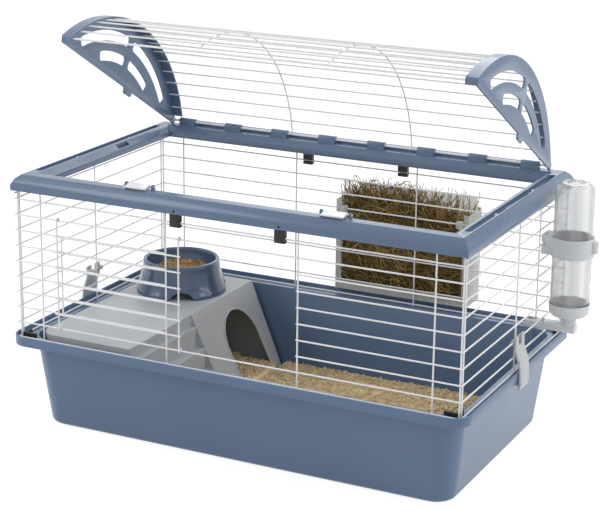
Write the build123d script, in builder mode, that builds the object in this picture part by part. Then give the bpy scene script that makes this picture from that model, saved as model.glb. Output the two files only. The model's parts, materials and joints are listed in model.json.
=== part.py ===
from build123d import *
from math import asin, cos, pi, radians, sin
import os

# Rodent cage: a deep plastic tub, a wire enclosure with a sliding front door, a mitred top frame
# and a domed wire lid, with the den, bowl, hay rack, drinking bottle and bedding that go with it.
# Millimetres, +Z up, the front towards -Y, the origin at the centre of the tub's underside.

# Driving dimensions

# Wire
wire_d = 2.6
wire_sides = 6
weld_depth = 0.2
hook_gap = 0.5

# Tub
tub_base_x = 353.0
tub_base_y = 198.0
tub_top_x = 370.0
tub_top_y = 216.0
tub_wall = 3.0
tub_base_radius = 34.0
tub_top_radius = 40.0
tub_foot_fillet = 9.0
rim_floor_z = 149.5
rim_outer_x = 390.0
rim_outer_y = 240.0
rim_radius = 30.0
rim_lip_z = 156.5
rim_skirt_z = 141.0
rim_lip_wall = 3.0

# Wire walls
panel_x = 378.3
panel_y = 224.9
row_pitch = 25.3
row_count = 10
sill_z = 177.0
side_top_row_z = 388.5
panel_gap = 0.2
end_post_inset = 3.5
corner_post_inset = 45.6
door_left_x = -107.5
door_right_x = 116.0
back_left_x = -109.5
back_right_x = 114.3

# Front door
door_width = 220.0
door_left_edge = -301.0
door_row_count = 6
door_stiffener_inset = 8.0
door_row_overhang = 3.0
hook_tail = 4.0

# Top frame
rail_outer_x = 382.4
rail_outer_y = 231.2
rail_bottom_z = 393.7
rail_top_z = 418.0
rail_width = 43.0
channel_inset = 15.0
channel_width = 11.0
channel_depth = 5.0
channel_length = 370.0
rail_slot_length = 30.0
rail_slot_width = 5.0
rail_slot_pitch = 100.0
rail_slot_y = 60.0

# Lid
lid_open_angle = 30.0
hinge_y = 209.0
hinge_above_rail = 7.5
hinge_z = rail_top_z + hinge_above_rail
hinge_rod_d = 4.0
hinge_clearance = 0.06
lid_depth = 388.0
lid_apex_u = 194.0
lid_rise = 93.0
lid_front_height = 2.0
lid_wire_intervals = 18
lid_plate_x = 345.0
lid_plate_thickness = 3.0
lid_rim_width = 20.0
lid_rim_thickness = 2.5
lid_edge_drop = 6.0
lid_bow_x = 110.0
lid_front_wire_d = 3.4
lid_front_setback = 1.8
knuckle_count = 8
knuckle_length = 30.0
knuckle_radius = 5.5
knuckle_end_x = 315.0
ridge_half_length = 322.0
ridge_front_y = 219.5
ridge_back_y = 226.0
ridge_top_z = hinge_z

# Lid plates
plate_hinge_radius = 7.0
plate_spoke_half = 9.0
plate_outer_slot = (19.0, 36.0)
plate_inner_slot = (53.0, 69.0)
plate_outer_reach = 176.0
plate_outer_back_reach = 172.0
plate_inner_reach = 112.0
plate_inner_back_reach = 106.0
plate_slot_corner = 5.0
plate_peg_u = 167.0
plate_peg_width = 26.0
plate_peg_drop = 9.0
peg_pocket_gap = 4.0
peg_pocket_depth = 11.0

# Lid latches
latch_x = 165.0
latch_length = 46.0
latch_reach = 15.0
latch_pin_d = 3.0
latch_y = -200.0
latch_above_rail = 4.0
latch_z = rail_top_z + latch_above_rail
latch_ear = 5.0

# Clips
panel_clip_x = 88.0
panel_clip_width = 17.0
panel_clip_height = 21.0
panel_clip_depth = 9.0
tub_clip_width = 38.0
tub_clip_thickness = 2.8
tub_clip_tail_z = 129.0
tub_clip_gap = 0.8
tub_clip_notch = 12.0
tub_clip_notch_depth = 6.0
corner_clip_leg_x = 24.0
corner_clip_leg_y = 20.0
corner_clip_thickness = 4.5
corner_clip_height = 9.0

# Clearances
rest_gap = 0.3
wire_clearance = 0.3

# House
house_top_z = 155.0
house_top_left_x = -356.0
house_top_right_x = -186.0
house_foot_left_x = -340.0
house_foot_right_x = -112.0
house_top_y = 204.0
house_foot_y = 186.0
house_corner_radius = 28.0
house_wall = 3.0
step_first_drop = 20.0
step_rise = 35.0
step_count = 4
step_end_y = -10.0
arch_y = 107.0
arch_width = 106.0
arch_spring_z = 78.0

# Bowl
bowl_x = -273.0
bowl_y = 109.0
bowl_base_r = 79.0
bowl_rim_r = 64.0
bowl_height = 56.0
bowl_wall = 2.5
bowl_side_arc = 120.0
bowl_dish_arc = 70.0
bowl_foot_edge = 4.0
bowl_floor_z = 15.0
bowl_foot_count = 4
bowl_arch_r = 24.0
bowl_arch_height = 14.0
kibble_level = 39.0

# Bedding
bedding_depth = 24.0
bedding_gap = 0.8
den_bedding_depth = 30.0

# Hay rack
rack_left_x = -35.0
rack_width = 243.0
rack_depth = 68.0
rack_bottom_z = 159.0
rack_side_top_z = 318.0
rack_back_top_z = 333.0
rack_wall = 2.5
rack_lip_height = 17.0
rack_strap_width = 10.0
rack_corner_r = 12.0
rack_hook_width = 12.0
rack_hook_inset = 15.0
hay_top_z = 352.0

# Bottle
bottle_x = 421.0
bottle_y = 118.0
bottle_r = 31.0
bottle_wall = 1.6
bottle_bottom_z = 220.0
bottle_top_z = 429.0
bottle_neck_r = 22.0
bottle_neck_height = 5.0
bottle_dome_r = 16.0
bottle_shoulder_height = 14.0
bottle_disc_depth = 3.0
cap_r = 32.5
cap_bottom_z = 216.0
cap_top_z = 235.0
cap_wall = 2.2
trough_width = 18.0
trough_top_z = 200.3
trough_bottom_z = 186.0
trough_inner_x = 352.0
trough_stem_r = 12.0
ring_bottom_z = 312.0
ring_height = 31.0
ring_wall = 2.6
ring_gap = 0.4
bracket_width = 30.0
bracket_overhang = 3.0

# Derived sizes

wire_r = wire_d / 2
wire_corner_r = wire_r / cos(pi / wire_sides)
layer = wire_d - weld_depth
row_z = [sill_z + (k - 1) * row_pitch for k in range(row_count)]
post_foot_z = rim_floor_z
post_top_z = rail_bottom_z
os.makedirs("parts", exist_ok=True)


def save(piece, label):
    """Name a finished piece and write it."""
    piece.label = label
    export_step(piece, f"parts/{label}.step")


def grille(rows, row_span, posts, post_span):
    """Flat welded panel in a wall's own frame: rows along X at the given heights,
    posts upright in the layer behind them, towards +Y."""
    with BuildPart() as panel:
        with BuildSketch(Plane.YZ.offset(row_span[0])):
            with Locations(*[(0, z) for z in rows]):
                RegularPolygon(radius=wire_r, side_count=wire_sides, major_radius=False)
        extrude(amount=row_span[1] - row_span[0])
        if posts:
            with BuildSketch(Plane.XY.offset(post_span[0])):
                with Locations(*[(x, layer) for x in posts]):
                    RegularPolygon(radius=wire_r, side_count=wire_sides, major_radius=False)
            extrude(amount=post_span[1] - post_span[0])
    return panel.part


# Tub: a tapered shell with a channel round its rim, where the wire walls stand

with BuildPart() as tub:
    with BuildSketch(Plane.XY):
        RectangleRounded(2 * tub_base_x, 2 * tub_base_y, tub_base_radius)
    with BuildSketch(Plane.XY.offset(rim_floor_z)):
        RectangleRounded(2 * tub_top_x, 2 * tub_top_y, tub_top_radius)
    loft()
    fillet(tub.faces().sort_by(Axis.Z)[0].edges(), radius=tub_foot_fillet)
    with BuildSketch(Plane.XY.offset(rim_floor_z - tub_wall)):
        RectangleRounded(2 * rim_outer_x, 2 * rim_outer_y, rim_radius)
    extrude(amount=tub_wall)
    with BuildSketch(Plane.XY.offset(rim_skirt_z)):
        RectangleRounded(2 * rim_outer_x, 2 * rim_outer_y, rim_radius)
        offset(amount=-rim_lip_wall, mode=Mode.SUBTRACT)
    extrude(amount=rim_lip_z - rim_skirt_z)
    with BuildSketch(Plane.XY.offset(tub_wall)):
        RectangleRounded(
            2 * (tub_base_x - tub_wall), 2 * (tub_base_y - tub_wall), tub_base_radius - tub_wall
        )
    with BuildSketch(Plane.XY.offset(rim_floor_z)):
        RectangleRounded(
            2 * (tub_top_x - tub_wall), 2 * (tub_top_y - tub_wall), tub_top_radius - tub_wall
        )
    loft(mode=Mode.SUBTRACT)
    tub_floor = tub.faces().filter_by(Plane.XY).group_by(Axis.Z)[1]
    fillet(tub_floor.edges(), radius=tub_foot_fillet - tub_wall)
save(tub.part, "tub")


# Wire walls

front_wall = Location((0, -panel_y, 0))
back_wall = Location((0, panel_y, 0), (0, 0, 180))
right_wall = Location((panel_x, 0, 0), (0, 0, 90))
left_wall = Location((-panel_x, 0, 0), (0, 0, -90))

post_span = (post_foot_z, post_top_z)
door_rows = row_z[2:2 + door_row_count]
header_rows = row_z[2 + door_row_count:]
sill_rows = row_z[:2]
wall_end = panel_x - wire_r - panel_gap
end_post = panel_x - end_post_inset
corner_post = panel_x - corner_post_inset
side_end_post = panel_y - end_post_inset - layer - wire_d

left_posts = [-end_post, -corner_post, door_left_x]
front_left = grille(row_z, (-wall_end, door_left_x + wire_r), left_posts, post_span)
save(front_wall * front_left, "front_panel_left")
right_posts = [door_right_x, corner_post, end_post]
front_right = grille(row_z, (door_right_x - wire_r, wall_end), right_posts, post_span)
save(front_wall * front_right, "front_panel_right")
doorway_span = (door_left_x + wire_r, door_right_x - wire_r)
save(front_wall * grille(header_rows, doorway_span, [], post_span), "front_panel_header")
save(front_wall * grille(sill_rows, doorway_span, [], post_span), "front_panel_sill")
back_posts = [-end_post, -corner_post, -back_right_x, -back_left_x, corner_post, end_post]
save(back_wall * grille(row_z, (-wall_end, wall_end), back_posts, post_span), "back_panel")
side_half = panel_y + wire_r
side_panel = grille(
    row_z + [side_top_row_z], (-side_half, side_half), [-side_end_post, 0, side_end_post], post_span
)
save(right_wall * side_panel, "right_panel")
save(left_wall * side_panel, "left_panel")


# Front door: rows outside the wall, on two posts whose ends hook round the sill and the row above

door_post_y = -panel_y - wire_d - hook_gap
door_posts = [door_left_edge + wire_r, door_left_edge + door_width - wire_r]
hook_radius = wire_d + hook_gap
hook_top_z = row_z[2 + door_row_count]
stiffener_x = door_posts[0] + door_stiffener_inset


def door_post(x):
    """Upright wire whose two ends turn round the sill wire and the header wire."""
    with BuildPart() as post:
        with BuildLine(Plane.YZ.offset(x)) as route:
            tail_top = Line((-panel_y + hook_radius, hook_top_z - hook_tail), (-panel_y + hook_radius, hook_top_z))
            over = RadiusArc(tail_top @ 1, (-panel_y - hook_radius, hook_top_z), -hook_radius)
            upright = Line(over @ 1, (-panel_y - hook_radius, sill_z))
            under = RadiusArc(upright @ 1, (-panel_y + hook_radius, sill_z), -hook_radius)
            Line(under @ 1, (-panel_y + hook_radius, sill_z + hook_tail))
        with BuildSketch(Plane(route.line @ 0, z_dir=route.line % 0)):
            Circle(wire_r)
        sweep()
    return post.part


door_parts = [door_post(x) for x in door_posts]
with BuildPart() as front_door:
    with BuildSketch(Plane.YZ.offset(door_left_edge - door_row_overhang)):
        with Locations(*[(door_post_y - layer, z) for z in door_rows]):
            RegularPolygon(radius=wire_r, side_count=wire_sides, major_radius=False)
    extrude(amount=door_width + 2 * door_row_overhang)
    with BuildSketch(Plane.XY.offset(door_rows[0])):
        with Locations((stiffener_x, door_post_y)):
            RegularPolygon(radius=wire_r, side_count=wire_sides, major_radius=False)
    extrude(amount=door_rows[-1] - door_rows[0])
    add(door_parts)
save(front_door.part, "front_door")


# Top frame: four rails of one bevelled section, mitred at the corners

def rail_section():
    """Rail section: X is the distance in from the outer face, Y is the height above the bottom."""
    height = rail_top_z - rail_bottom_z
    with BuildSketch() as section:
        with BuildLine():
            Polyline(
                (0, 0), (0, 9), (5, height - 6), (13, height), (31, height), (rail_width, height - 9),
                (rail_width, height - 15), (rail_width - 3, height - 15), (rail_width - 3, 5), (12, 5),
                (12, 0), close=True,
            )
        make_face()
    return section.sketch


section = rail_section()


def rail(half_length, outer):
    """Rail along X, its outer face towards -Y, mitred at 45 degrees at both ends."""
    with BuildPart() as bar:
        with BuildSketch(Plane((-half_length, -outer, rail_bottom_z), x_dir=(0, 1, 0), z_dir=(1, 0, 0))):
            add(section)
        extrude(amount=2 * half_length)
        corner = Vector(half_length, -outer, 0)
        split(bisect_by=Plane(corner, z_dir=(1, 1, 0)), keep=Keep.BOTTOM)
        corner = Vector(-half_length, -outer, 0)
        split(bisect_by=Plane(corner, z_dir=(-1, 1, 0)), keep=Keep.BOTTOM)
    return bar.part


def side_rail(slot_sign):
    """Side rail with the pocket for the foot of the lid's end plate and a channel with three slots.
    slot_sign says which way along the rail the back of the cage lies."""
    with BuildPart() as bar:
        add(rail(rail_outer_y, rail_outer_x))
        pocket_x = slot_sign * (hinge_y - plate_peg_u)
        with Locations((pocket_x, -lid_plate_x - lid_plate_thickness / 2, rail_top_z)):
            Box(
                plate_peg_width + 2 * peg_pocket_gap, lid_plate_thickness + peg_pocket_gap,
                2 * peg_pocket_depth, mode=Mode.SUBTRACT,
            )
        channel_middle = channel_inset + channel_width / 2 - rail_outer_x
        with BuildSketch(Plane.XY.offset(rail_top_z)):
            with Locations((0, channel_middle)):
                SlotOverall(channel_length, channel_width)
        extrude(amount=-channel_depth, mode=Mode.SUBTRACT)
        with BuildSketch(Plane.XY.offset(rail_top_z)):
            slot_xs = [slot_sign * rail_slot_y + k * rail_slot_pitch for k in (-1, 0, 1)]
            with Locations(*[(slot_x, channel_middle) for slot_x in slot_xs]):
                SlotOverall(rail_slot_length, rail_slot_width)
        extrude(amount=rail_bottom_z - rail_top_z, mode=Mode.SUBTRACT)
    return bar.part


front_rail = rail(rail_outer_x, rail_outer_y)
save(Location((0, 0, 0), (0, 0, 90)) * side_rail(1), "rail_right")
save(Location((0, 0, 0), (0, 0, -90)) * side_rail(-1), "rail_left")

back_bar = Location((0, 0, 0), (0, 0, 180)) * front_rail
knuckle_bore = hinge_rod_d / 2 + hinge_clearance
knuckle_xs = [
    -knuckle_end_x + k * 2 * knuckle_end_x / (knuckle_count - 1) for k in range(knuckle_count)
]
with BuildPart() as rail_back:
    add(back_bar)
    for knuckle_x in knuckle_xs:
        with BuildSketch(Plane.YZ.offset(knuckle_x - knuckle_length / 2)):
            with Locations((hinge_y, hinge_z)):
                Circle(knuckle_radius)
            with Locations((hinge_y, (hinge_z + rail_top_z) / 2 - 1)):
                Rectangle(2 * knuckle_radius, hinge_z - rail_top_z + 2)
            with Locations((hinge_y, hinge_z)):
                Circle(knuckle_bore, mode=Mode.SUBTRACT)
        extrude(amount=knuckle_length)
    with BuildSketch(Plane.YZ.offset(-ridge_half_length)):
        with Locations(((ridge_front_y + ridge_back_y) / 2, rail_top_z)):
            RectangleRounded(ridge_back_y - ridge_front_y, 2 * (ridge_top_z - rail_top_z), 2)
    extrude(amount=2 * ridge_half_length)
save(rail_back.part, "rail_back")


# Lid, modelled as it stands open: u runs from the hinge to the front edge, v away from the cage

lid_angle = radians(lid_open_angle)


def lid_plane(x):
    """Plane across the lid at x, with the lid's u and v as its X and Y."""
    return Plane(
        (x, hinge_y, hinge_z), x_dir=(0, -cos(lid_angle), sin(lid_angle)), z_dir=(-1, 0, 0)
    )


def arc_radius(run, rise):
    """Radius of the arc that leaves the apex level and drops by rise over run."""
    return (run ** 2 + rise ** 2) / (2 * rise)


back_arc = arc_radius(lid_apex_u, lid_rise)
front_arc = arc_radius(lid_depth - lid_apex_u, lid_rise - lid_front_height)
back_turn = asin(lid_apex_u / back_arc)
front_turn = asin((lid_depth - lid_apex_u) / front_arc)
back_length = back_arc * back_turn
front_length = front_arc * front_turn


def lid_point(distance, inset=0.0):
    """Point on the lid's section at a distance along it from the hinge, moved inwards by inset."""
    if distance < back_length:
        radius, turn = back_arc, distance / back_arc - back_turn
    else:
        radius, turn = front_arc, (distance - back_length) / front_arc
    centre_v = lid_rise - radius
    return (lid_apex_u + (radius - inset) * sin(turn), centre_v + (radius - inset) * cos(turn))


lid_pitch = (back_length + front_length) / lid_wire_intervals
wire_points = [lid_point(k * lid_pitch) for k in range(1, lid_wire_intervals)]
lid_length = back_length + front_length
front_point = lid_point(lid_length - lid_front_setback, lid_front_wire_d / 2 - weld_depth)

with BuildPart() as lid_long_wires:
    with BuildSketch(lid_plane(lid_plate_x)):
        with Locations(*wire_points):
            RegularPolygon(radius=wire_r, side_count=wire_sides, major_radius=False)
    extrude(amount=2 * lid_plate_x)
save(lid_long_wires.part, "lid_long_wires")

with BuildPart() as lid_front_wire:
    with BuildSketch(lid_plane(lid_plate_x)):
        with Locations(front_point):
            RegularPolygon(radius=lid_front_wire_d / 2, side_count=8, major_radius=False)
    extrude(amount=2 * lid_plate_x)
save(lid_front_wire.part, "lid_front_wire")

with BuildPart() as lid_hinge_rod:
    with BuildSketch(lid_plane(lid_plate_x)):
        Circle(hinge_rod_d / 2)
    extrude(amount=2 * lid_plate_x)
save(lid_hinge_rod.part, "lid_hinge_rod")


def lid_bow(x):
    """Cross wire under the long wires, from the hinge rod to the front wire."""
    start = lid_point(0, layer)
    middle = lid_point(back_length, layer)
    end = lid_point(lid_length - lid_front_setback, layer)
    with BuildPart() as bow:
        with BuildLine(lid_plane(x)) as route:
            RadiusArc(start, middle, back_arc - layer)
            RadiusArc(middle, end, front_arc - layer)
        with BuildSketch(Plane(route.line @ 0, z_dir=route.line % 0)):
            Circle(wire_r)
        sweep()
    return bow.part


save(lid_bow(-lid_bow_x), "lid_bow_left")
save(lid_bow(lid_bow_x), "lid_bow_right")


# Lid end plates: a D-shaped web with crescent and slender openings, and a rim over the wire ends

def plate_outline(inset):
    """Edge of the plate: the hinge boss, the lid's section and the straight chord edge."""
    start, middle, end = lid_point(0, inset), lid_point(back_length, inset), lid_point(lid_length, inset)
    with BuildSketch() as outline:
        with BuildLine():
            RadiusArc(start, middle, back_arc - inset)
            RadiusArc(middle, end, front_arc - inset)
            Line(end, (lid_depth, -lid_edge_drop))
            Line((lid_depth, -lid_edge_drop), (0, -lid_edge_drop))
            Line((0, -lid_edge_drop), (-plate_hinge_radius, 0))
            Line((-plate_hinge_radius, 0), start)
        make_face()
        Circle(plate_hinge_radius)
    return outline.sketch


def slot_outline(radius, insets, from_distance, to_distance):
    """Opening with radial ends that follows one arc of the section between two insets."""
    shallow, deep = insets
    corners = [
        lid_point(distance, inset)
        for distance, inset in (
            (from_distance, shallow), (to_distance, shallow), (to_distance, deep), (from_distance, deep)
        )
    ]
    with BuildSketch() as opening:
        with BuildLine():
            RadiusArc(corners[0], corners[1], radius - shallow)
            Line(corners[1], corners[2])
            RadiusArc(corners[2], corners[3], deep - radius)
            Line(corners[3], corners[0])
        make_face()
        fillet(opening.vertices(), radius=plate_slot_corner)
    return opening.sketch


plate_outer = -lid_rim_thickness - wire_corner_r
plate_face = plate_outline(plate_outer)
rim_inner = plate_outline(-wire_corner_r - 0.15)
slot_start = back_length + plate_spoke_half
slot_end = back_length - plate_spoke_half
slots = [
    slot_outline(front_arc, plate_outer_slot, slot_start, back_length + plate_outer_reach),
    slot_outline(front_arc, plate_inner_slot, slot_start, back_length + plate_inner_reach),
    slot_outline(back_arc, plate_outer_slot, back_length - plate_outer_back_reach, slot_end),
    slot_outline(back_arc, plate_inner_slot, back_length - plate_inner_back_reach, slot_end),
]


def lid_plate(x, side):
    """End plate with its web's inner face at x and its rim reaching back over the wires."""
    with BuildPart() as plate:
        with BuildSketch(lid_plane(x + side * lid_plate_thickness / 2)):
            add(plate_face)
            with Locations((plate_peg_u, -lid_edge_drop)):
                RectangleRounded(plate_peg_width, 2 * plate_peg_drop, plate_slot_corner)
            for slot in slots:
                add(slot, mode=Mode.SUBTRACT)
        extrude(amount=lid_plate_thickness / 2, both=True)
        rim_middle = x + side * (lid_plate_thickness - lid_rim_width / 2)
        with BuildSketch(lid_plane(rim_middle)):
            add(plate_face)
            add(rim_inner, mode=Mode.SUBTRACT)
        extrude(amount=lid_rim_width / 2, both=True)
    return plate.part


save(lid_plate(-lid_plate_x, -1), "lid_plate_left")
save(lid_plate(lid_plate_x, 1), "lid_plate_right")


# Lid latches: levers on moulded pins, lying on the front rail

def latch(x):
    """Lever with its pin, lying towards the front."""
    with BuildPart() as lever:
        with BuildSketch(Plane.YZ.offset(x)):
            with BuildLine():
                Polyline(
                    (latch_y + 2.5, latch_z - 2), (latch_y + 2.5, latch_z + 2.5), (latch_y - 4, latch_z + 2.5),
                    (latch_y - latch_reach, latch_z - 0.2), (latch_y - latch_reach - 4, latch_z + 1.5),
                    (latch_y - latch_reach - 4, latch_z - 1), (latch_y - latch_reach, latch_z - 2.4),
                    (latch_y - 4, latch_z - 2), close=True,
                )
            make_face()
        extrude(amount=latch_length / 2 - latch_ear, both=True)
        with BuildSketch(Plane.YZ.offset(x)):
            with Locations((latch_y, latch_z)):
                Circle(latch_pin_d / 2)
        extrude(amount=latch_length / 2 + latch_ear / 2, both=True)
    return lever.part


save(latch(-latch_x), "lid_latch_left")
save(latch(latch_x), "lid_latch_right")


def latch_ears(x):
    """The pair of ears that carry one latch pin."""
    with BuildPart() as ears:
        for side in (-1, 1):
            with BuildSketch(Plane.YZ.offset(x + side * (latch_length / 2 + 0.5))):
                with Locations((latch_y, latch_z)):
                    Circle(3.5)
                with Locations((latch_y, rail_top_z)):
                    Rectangle(7, 2 * (latch_z - rail_top_z))
                with Locations((latch_y, latch_z)):
                    Circle(latch_pin_d / 2 + hinge_clearance, mode=Mode.SUBTRACT)
            extrude(amount=1.8, both=True)
    return ears.part


ear_parts = [latch_ears(-latch_x), latch_ears(latch_x)]
with BuildPart() as rail_front:
    add(front_rail)
    add(ear_parts)
save(rail_front.part, "rail_front")


# Black clips that hold the front and back walls up to the frame

def panel_clip():
    """Clip in a wall's own frame, closed round the top row."""
    clip_row = row_z[-1]
    with BuildPart() as clip:
        with BuildSketch(Plane.YZ):
            with Locations((0, rail_bottom_z - panel_clip_height / 2)):
                RectangleRounded(panel_clip_depth, panel_clip_height, 2)
            with Locations((0, clip_row)):
                Circle(wire_r + wire_clearance, mode=Mode.SUBTRACT)
            with Locations((panel_clip_depth / 2, clip_row)):
                Rectangle(panel_clip_depth, wire_d, mode=Mode.SUBTRACT)
        extrude(amount=panel_clip_width / 2, both=True)
    return clip.part


clip_shape = panel_clip()
for wall_name, wall in (("front", front_wall), ("back", back_wall)):
    for side_name, clip_x in (("left", -panel_clip_x), ("right", panel_clip_x)):
        local_x = clip_x if wall_name == "front" else -clip_x
        save(wall * Location((local_x, 0, 0)) * clip_shape, f"panel_clip_{wall_name}_{side_name}")


# Grey lever clips that hold the wire walls down to the tub

def tub_clip():
    """Clip for the right-hand side: it turns on a row of the wall and catches under the rim."""
    pivot_z = row_z[2]
    eye_r = wire_corner_r + wire_clearance
    outer_x = rim_outer_x + tub_clip_gap
    with BuildPart() as clip:
        with BuildSketch(Plane.XZ):
            with BuildLine():
                Polyline(
                    (panel_x + 3.4, pivot_z + 3), (panel_x + 3.4, pivot_z - 12), (outer_x - 2, rim_lip_z + 14),
                    (outer_x, rim_lip_z + 4), (outer_x, rim_skirt_z - 2.5), (outer_x - 4.5, rim_skirt_z - 2.5),
                    (outer_x - 4.5, rim_skirt_z - 5), (outer_x + 1.5, rim_skirt_z - 7.5),
                    (outer_x - 1, tub_clip_tail_z), (outer_x + 2, tub_clip_tail_z - 1),
                    (outer_x + tub_clip_thickness + 1.4, rim_skirt_z - 4),
                    (outer_x + tub_clip_thickness, rim_lip_z + 5),
                    (outer_x - 2 + tub_clip_thickness, rim_lip_z + 16),
                    (panel_x + 3.4 + tub_clip_thickness, pivot_z - 10),
                    (panel_x + 3.4 + tub_clip_thickness, pivot_z + 8), (panel_x + 3.4, pivot_z + 9.5),
                    close=True,
                )
            make_face()
        extrude(amount=tub_clip_width / 2, both=True)
        for hook_y in (-tub_clip_width / 2 + 5, tub_clip_width / 2 - 5):
            with BuildSketch(Plane.XZ.offset(hook_y)):
                with Locations((panel_x, pivot_z)):
                    Circle(eye_r + 2.4)
                with Locations((panel_x + 3, pivot_z)):
                    Rectangle(5, 6)
                with Locations((panel_x, pivot_z)):
                    Circle(eye_r, mode=Mode.SUBTRACT)
            extrude(amount=4, both=True)
        with Locations((panel_x, 0, pivot_z - tub_clip_notch_depth)):
            Box(
                tub_clip_width, tub_clip_notch, tub_clip_width, mode=Mode.SUBTRACT,
                align=(Align.CENTER, Align.CENTER, Align.MIN),
            )
    return clip.part


right_clip = tub_clip()
save(right_clip, "tub_clip_right")
save(Location((0, 0, 0), (0, 0, 180)) * right_clip, "tub_clip_left")


# Black corner pieces in the rim channel, just inside the wire corners

post_inner = layer + wire_corner_r + 0.1
for corner_name, side_x, side_y in (
    ("front_left", -1, -1), ("front_right", 1, -1), ("back_left", -1, 1), ("back_right", 1, 1)
):
    corner_x = side_x * (panel_x - post_inner)
    corner_y = side_y * (panel_y - post_inner)
    with BuildPart() as corner_clip:
        with BuildSketch(Plane.XY.offset(rim_floor_z)):
            half_thickness = corner_clip_thickness / 2
            with Locations((corner_x - side_x * corner_clip_leg_x / 2, corner_y - side_y * half_thickness)):
                Rectangle(corner_clip_leg_x, corner_clip_thickness)
            with Locations((corner_x - side_x * half_thickness, corner_y - side_y * corner_clip_leg_y / 2)):
                Rectangle(corner_clip_thickness, corner_clip_leg_y)
        extrude(amount=corner_clip_height)
    save(corner_clip.part, f"corner_clip_{corner_name}")


# House: a thin moulded den with a flat roof, a sloping side with steps, and an arched door

house_floor_z = tub_wall + rest_gap
slope_run = (house_foot_right_x - house_top_right_x) / (house_top_z - house_floor_z)


def slope_x(z):
    """X of the sloping side at height z."""
    return house_top_right_x + (house_top_z - z) * slope_run


tread_z = [house_top_z - step_first_drop - k * step_rise for k in range(step_count)]


def house_profile(low_z, stepped):
    """Side outline of the house down to low_z, with the slope plain or stepped."""
    points = [(house_top_left_x, low_z), (house_top_left_x, house_top_z), (house_top_right_x, house_top_z)]
    if stepped:
        for z in tread_z:
            points += [(points[-1][0], z), (slope_x(z), z)]
        points += [(points[-1][0], low_z)]
    else:
        points += [(slope_x(low_z), low_z)]
    with BuildSketch() as profile:
        with BuildLine():
            Polyline(*points, close=True)
        make_face()
    return profile.sketch


def house_block(inset, low_z):
    """Solid form of the house, all faces moved in by inset."""
    back_y = house_top_y - inset
    with BuildPart() as block:
        with BuildSketch(Plane.XZ.offset(-back_y)):
            add(house_profile(low_z, False))
            offset(amount=-inset, kind=Kind.INTERSECTION)
        extrude(amount=back_y - step_end_y - inset)
        with BuildSketch(Plane.XZ.offset(-step_end_y - inset)):
            add(house_profile(low_z, True))
            offset(amount=-inset, kind=Kind.INTERSECTION)
        extrude(amount=back_y + step_end_y + inset)
        for z, left_x, half_y in (
            (low_z, house_foot_left_x, house_foot_y), (house_top_z, house_top_left_x, house_top_y)
        ):
            right_x = house_foot_right_x + 2 * house_corner_radius
            with BuildSketch(Plane.XY.offset(z)):
                with Locations(((left_x + inset + right_x) / 2, 0)):
                    RectangleRounded(
                        right_x - left_x - inset, 2 * (half_y - inset), house_corner_radius - inset
                    )
        loft(mode=Mode.INTERSECT)
    return block.part


house_outer = house_block(0.0, house_floor_z)
house_inner = house_block(house_wall, house_floor_z - 4 * house_wall)
with BuildPart() as house:
    add(house_outer)
    add(house_inner, mode=Mode.SUBTRACT)
    with BuildSketch(Plane.YZ.offset(house_top_right_x - 4)):
        with Locations((arch_y, arch_spring_z / 2)):
            Rectangle(arch_width, arch_spring_z)
        with Locations((arch_y, arch_spring_z)):
            Circle(arch_width / 2)
    extrude(amount=house_foot_right_x - house_top_right_x + 8, mode=Mode.SUBTRACT)
save(house.part, "house")


# Bowl: a heavy skirted dish with arched openings between its feet, and the feed in it

with BuildPart() as bowl_shape:
    dish_r = bowl_rim_r - 18
    dish_z = bowl_floor_z + bowl_wall
    skirt_r = bowl_base_r - bowl_wall
    with BuildSketch(Plane.XZ):
        with BuildLine():
            Line((bowl_base_r, 0), (bowl_base_r, bowl_foot_edge))
            RadiusArc((bowl_base_r, bowl_foot_edge), (bowl_rim_r + 1.5, bowl_height - 3), bowl_side_arc)
            RadiusArc((bowl_rim_r + 1.5, bowl_height - 3), (bowl_rim_r - 5, bowl_height - 2.5), -3.6)
            RadiusArc((bowl_rim_r - 5, bowl_height - 2.5), (dish_r, dish_z + 1), bowl_dish_arc)
            Line((dish_r, dish_z + 1), (0, dish_z))
            Line((0, dish_z), (0, bowl_floor_z))
            Line((0, bowl_floor_z), (dish_r + 2, bowl_floor_z))
            RadiusArc((dish_r + 2, bowl_floor_z), (bowl_rim_r - 3, bowl_height - 7), -bowl_dish_arc)
            Line((bowl_rim_r - 3, bowl_height - 7), (bowl_rim_r, bowl_height - 8))
            RadiusArc((bowl_rim_r, bowl_height - 8), (skirt_r, bowl_foot_edge), -bowl_side_arc)
            Line((skirt_r, bowl_foot_edge), (skirt_r, 0))
            Line((skirt_r, 0), (bowl_base_r, 0))
        make_face()
    revolve(axis=Axis.Z)
    for k in range(bowl_foot_count):
        angle = radians(360 / bowl_foot_count * k - 60)
        radial = Vector(cos(angle), sin(angle), 0)
        with BuildSketch(Plane(radial * (bowl_rim_r - 6), x_dir=(-sin(angle), cos(angle), 0), z_dir=radial)):
            with Locations((0, bowl_arch_height - bowl_arch_r)):
                Circle(bowl_arch_r)
        extrude(amount=bowl_base_r, mode=Mode.SUBTRACT)
bowl_place = Location((bowl_x, bowl_y, house_top_z + rest_gap))
save(bowl_place * bowl_shape.part, "bowl")

kibble_floor_z = bowl_floor_z + bowl_wall + rest_gap
kibble_r = bowl_rim_r - 15.5
with BuildPart() as kibble_shape:
    with BuildSketch(Plane.XZ):
        with BuildLine():
            Polyline(
                (0, kibble_floor_z), (kibble_r - 6, kibble_floor_z + 1), (kibble_r, kibble_level),
                (kibble_r * 0.6, kibble_level + 3), (0, kibble_level + 4), close=True,
            )
        make_face()
    revolve(axis=Axis.Z)
save(bowl_place * kibble_shape.part, "kibble")


# Bedding: one bed of shavings beside the house and a smaller one in its doorway and den

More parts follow.
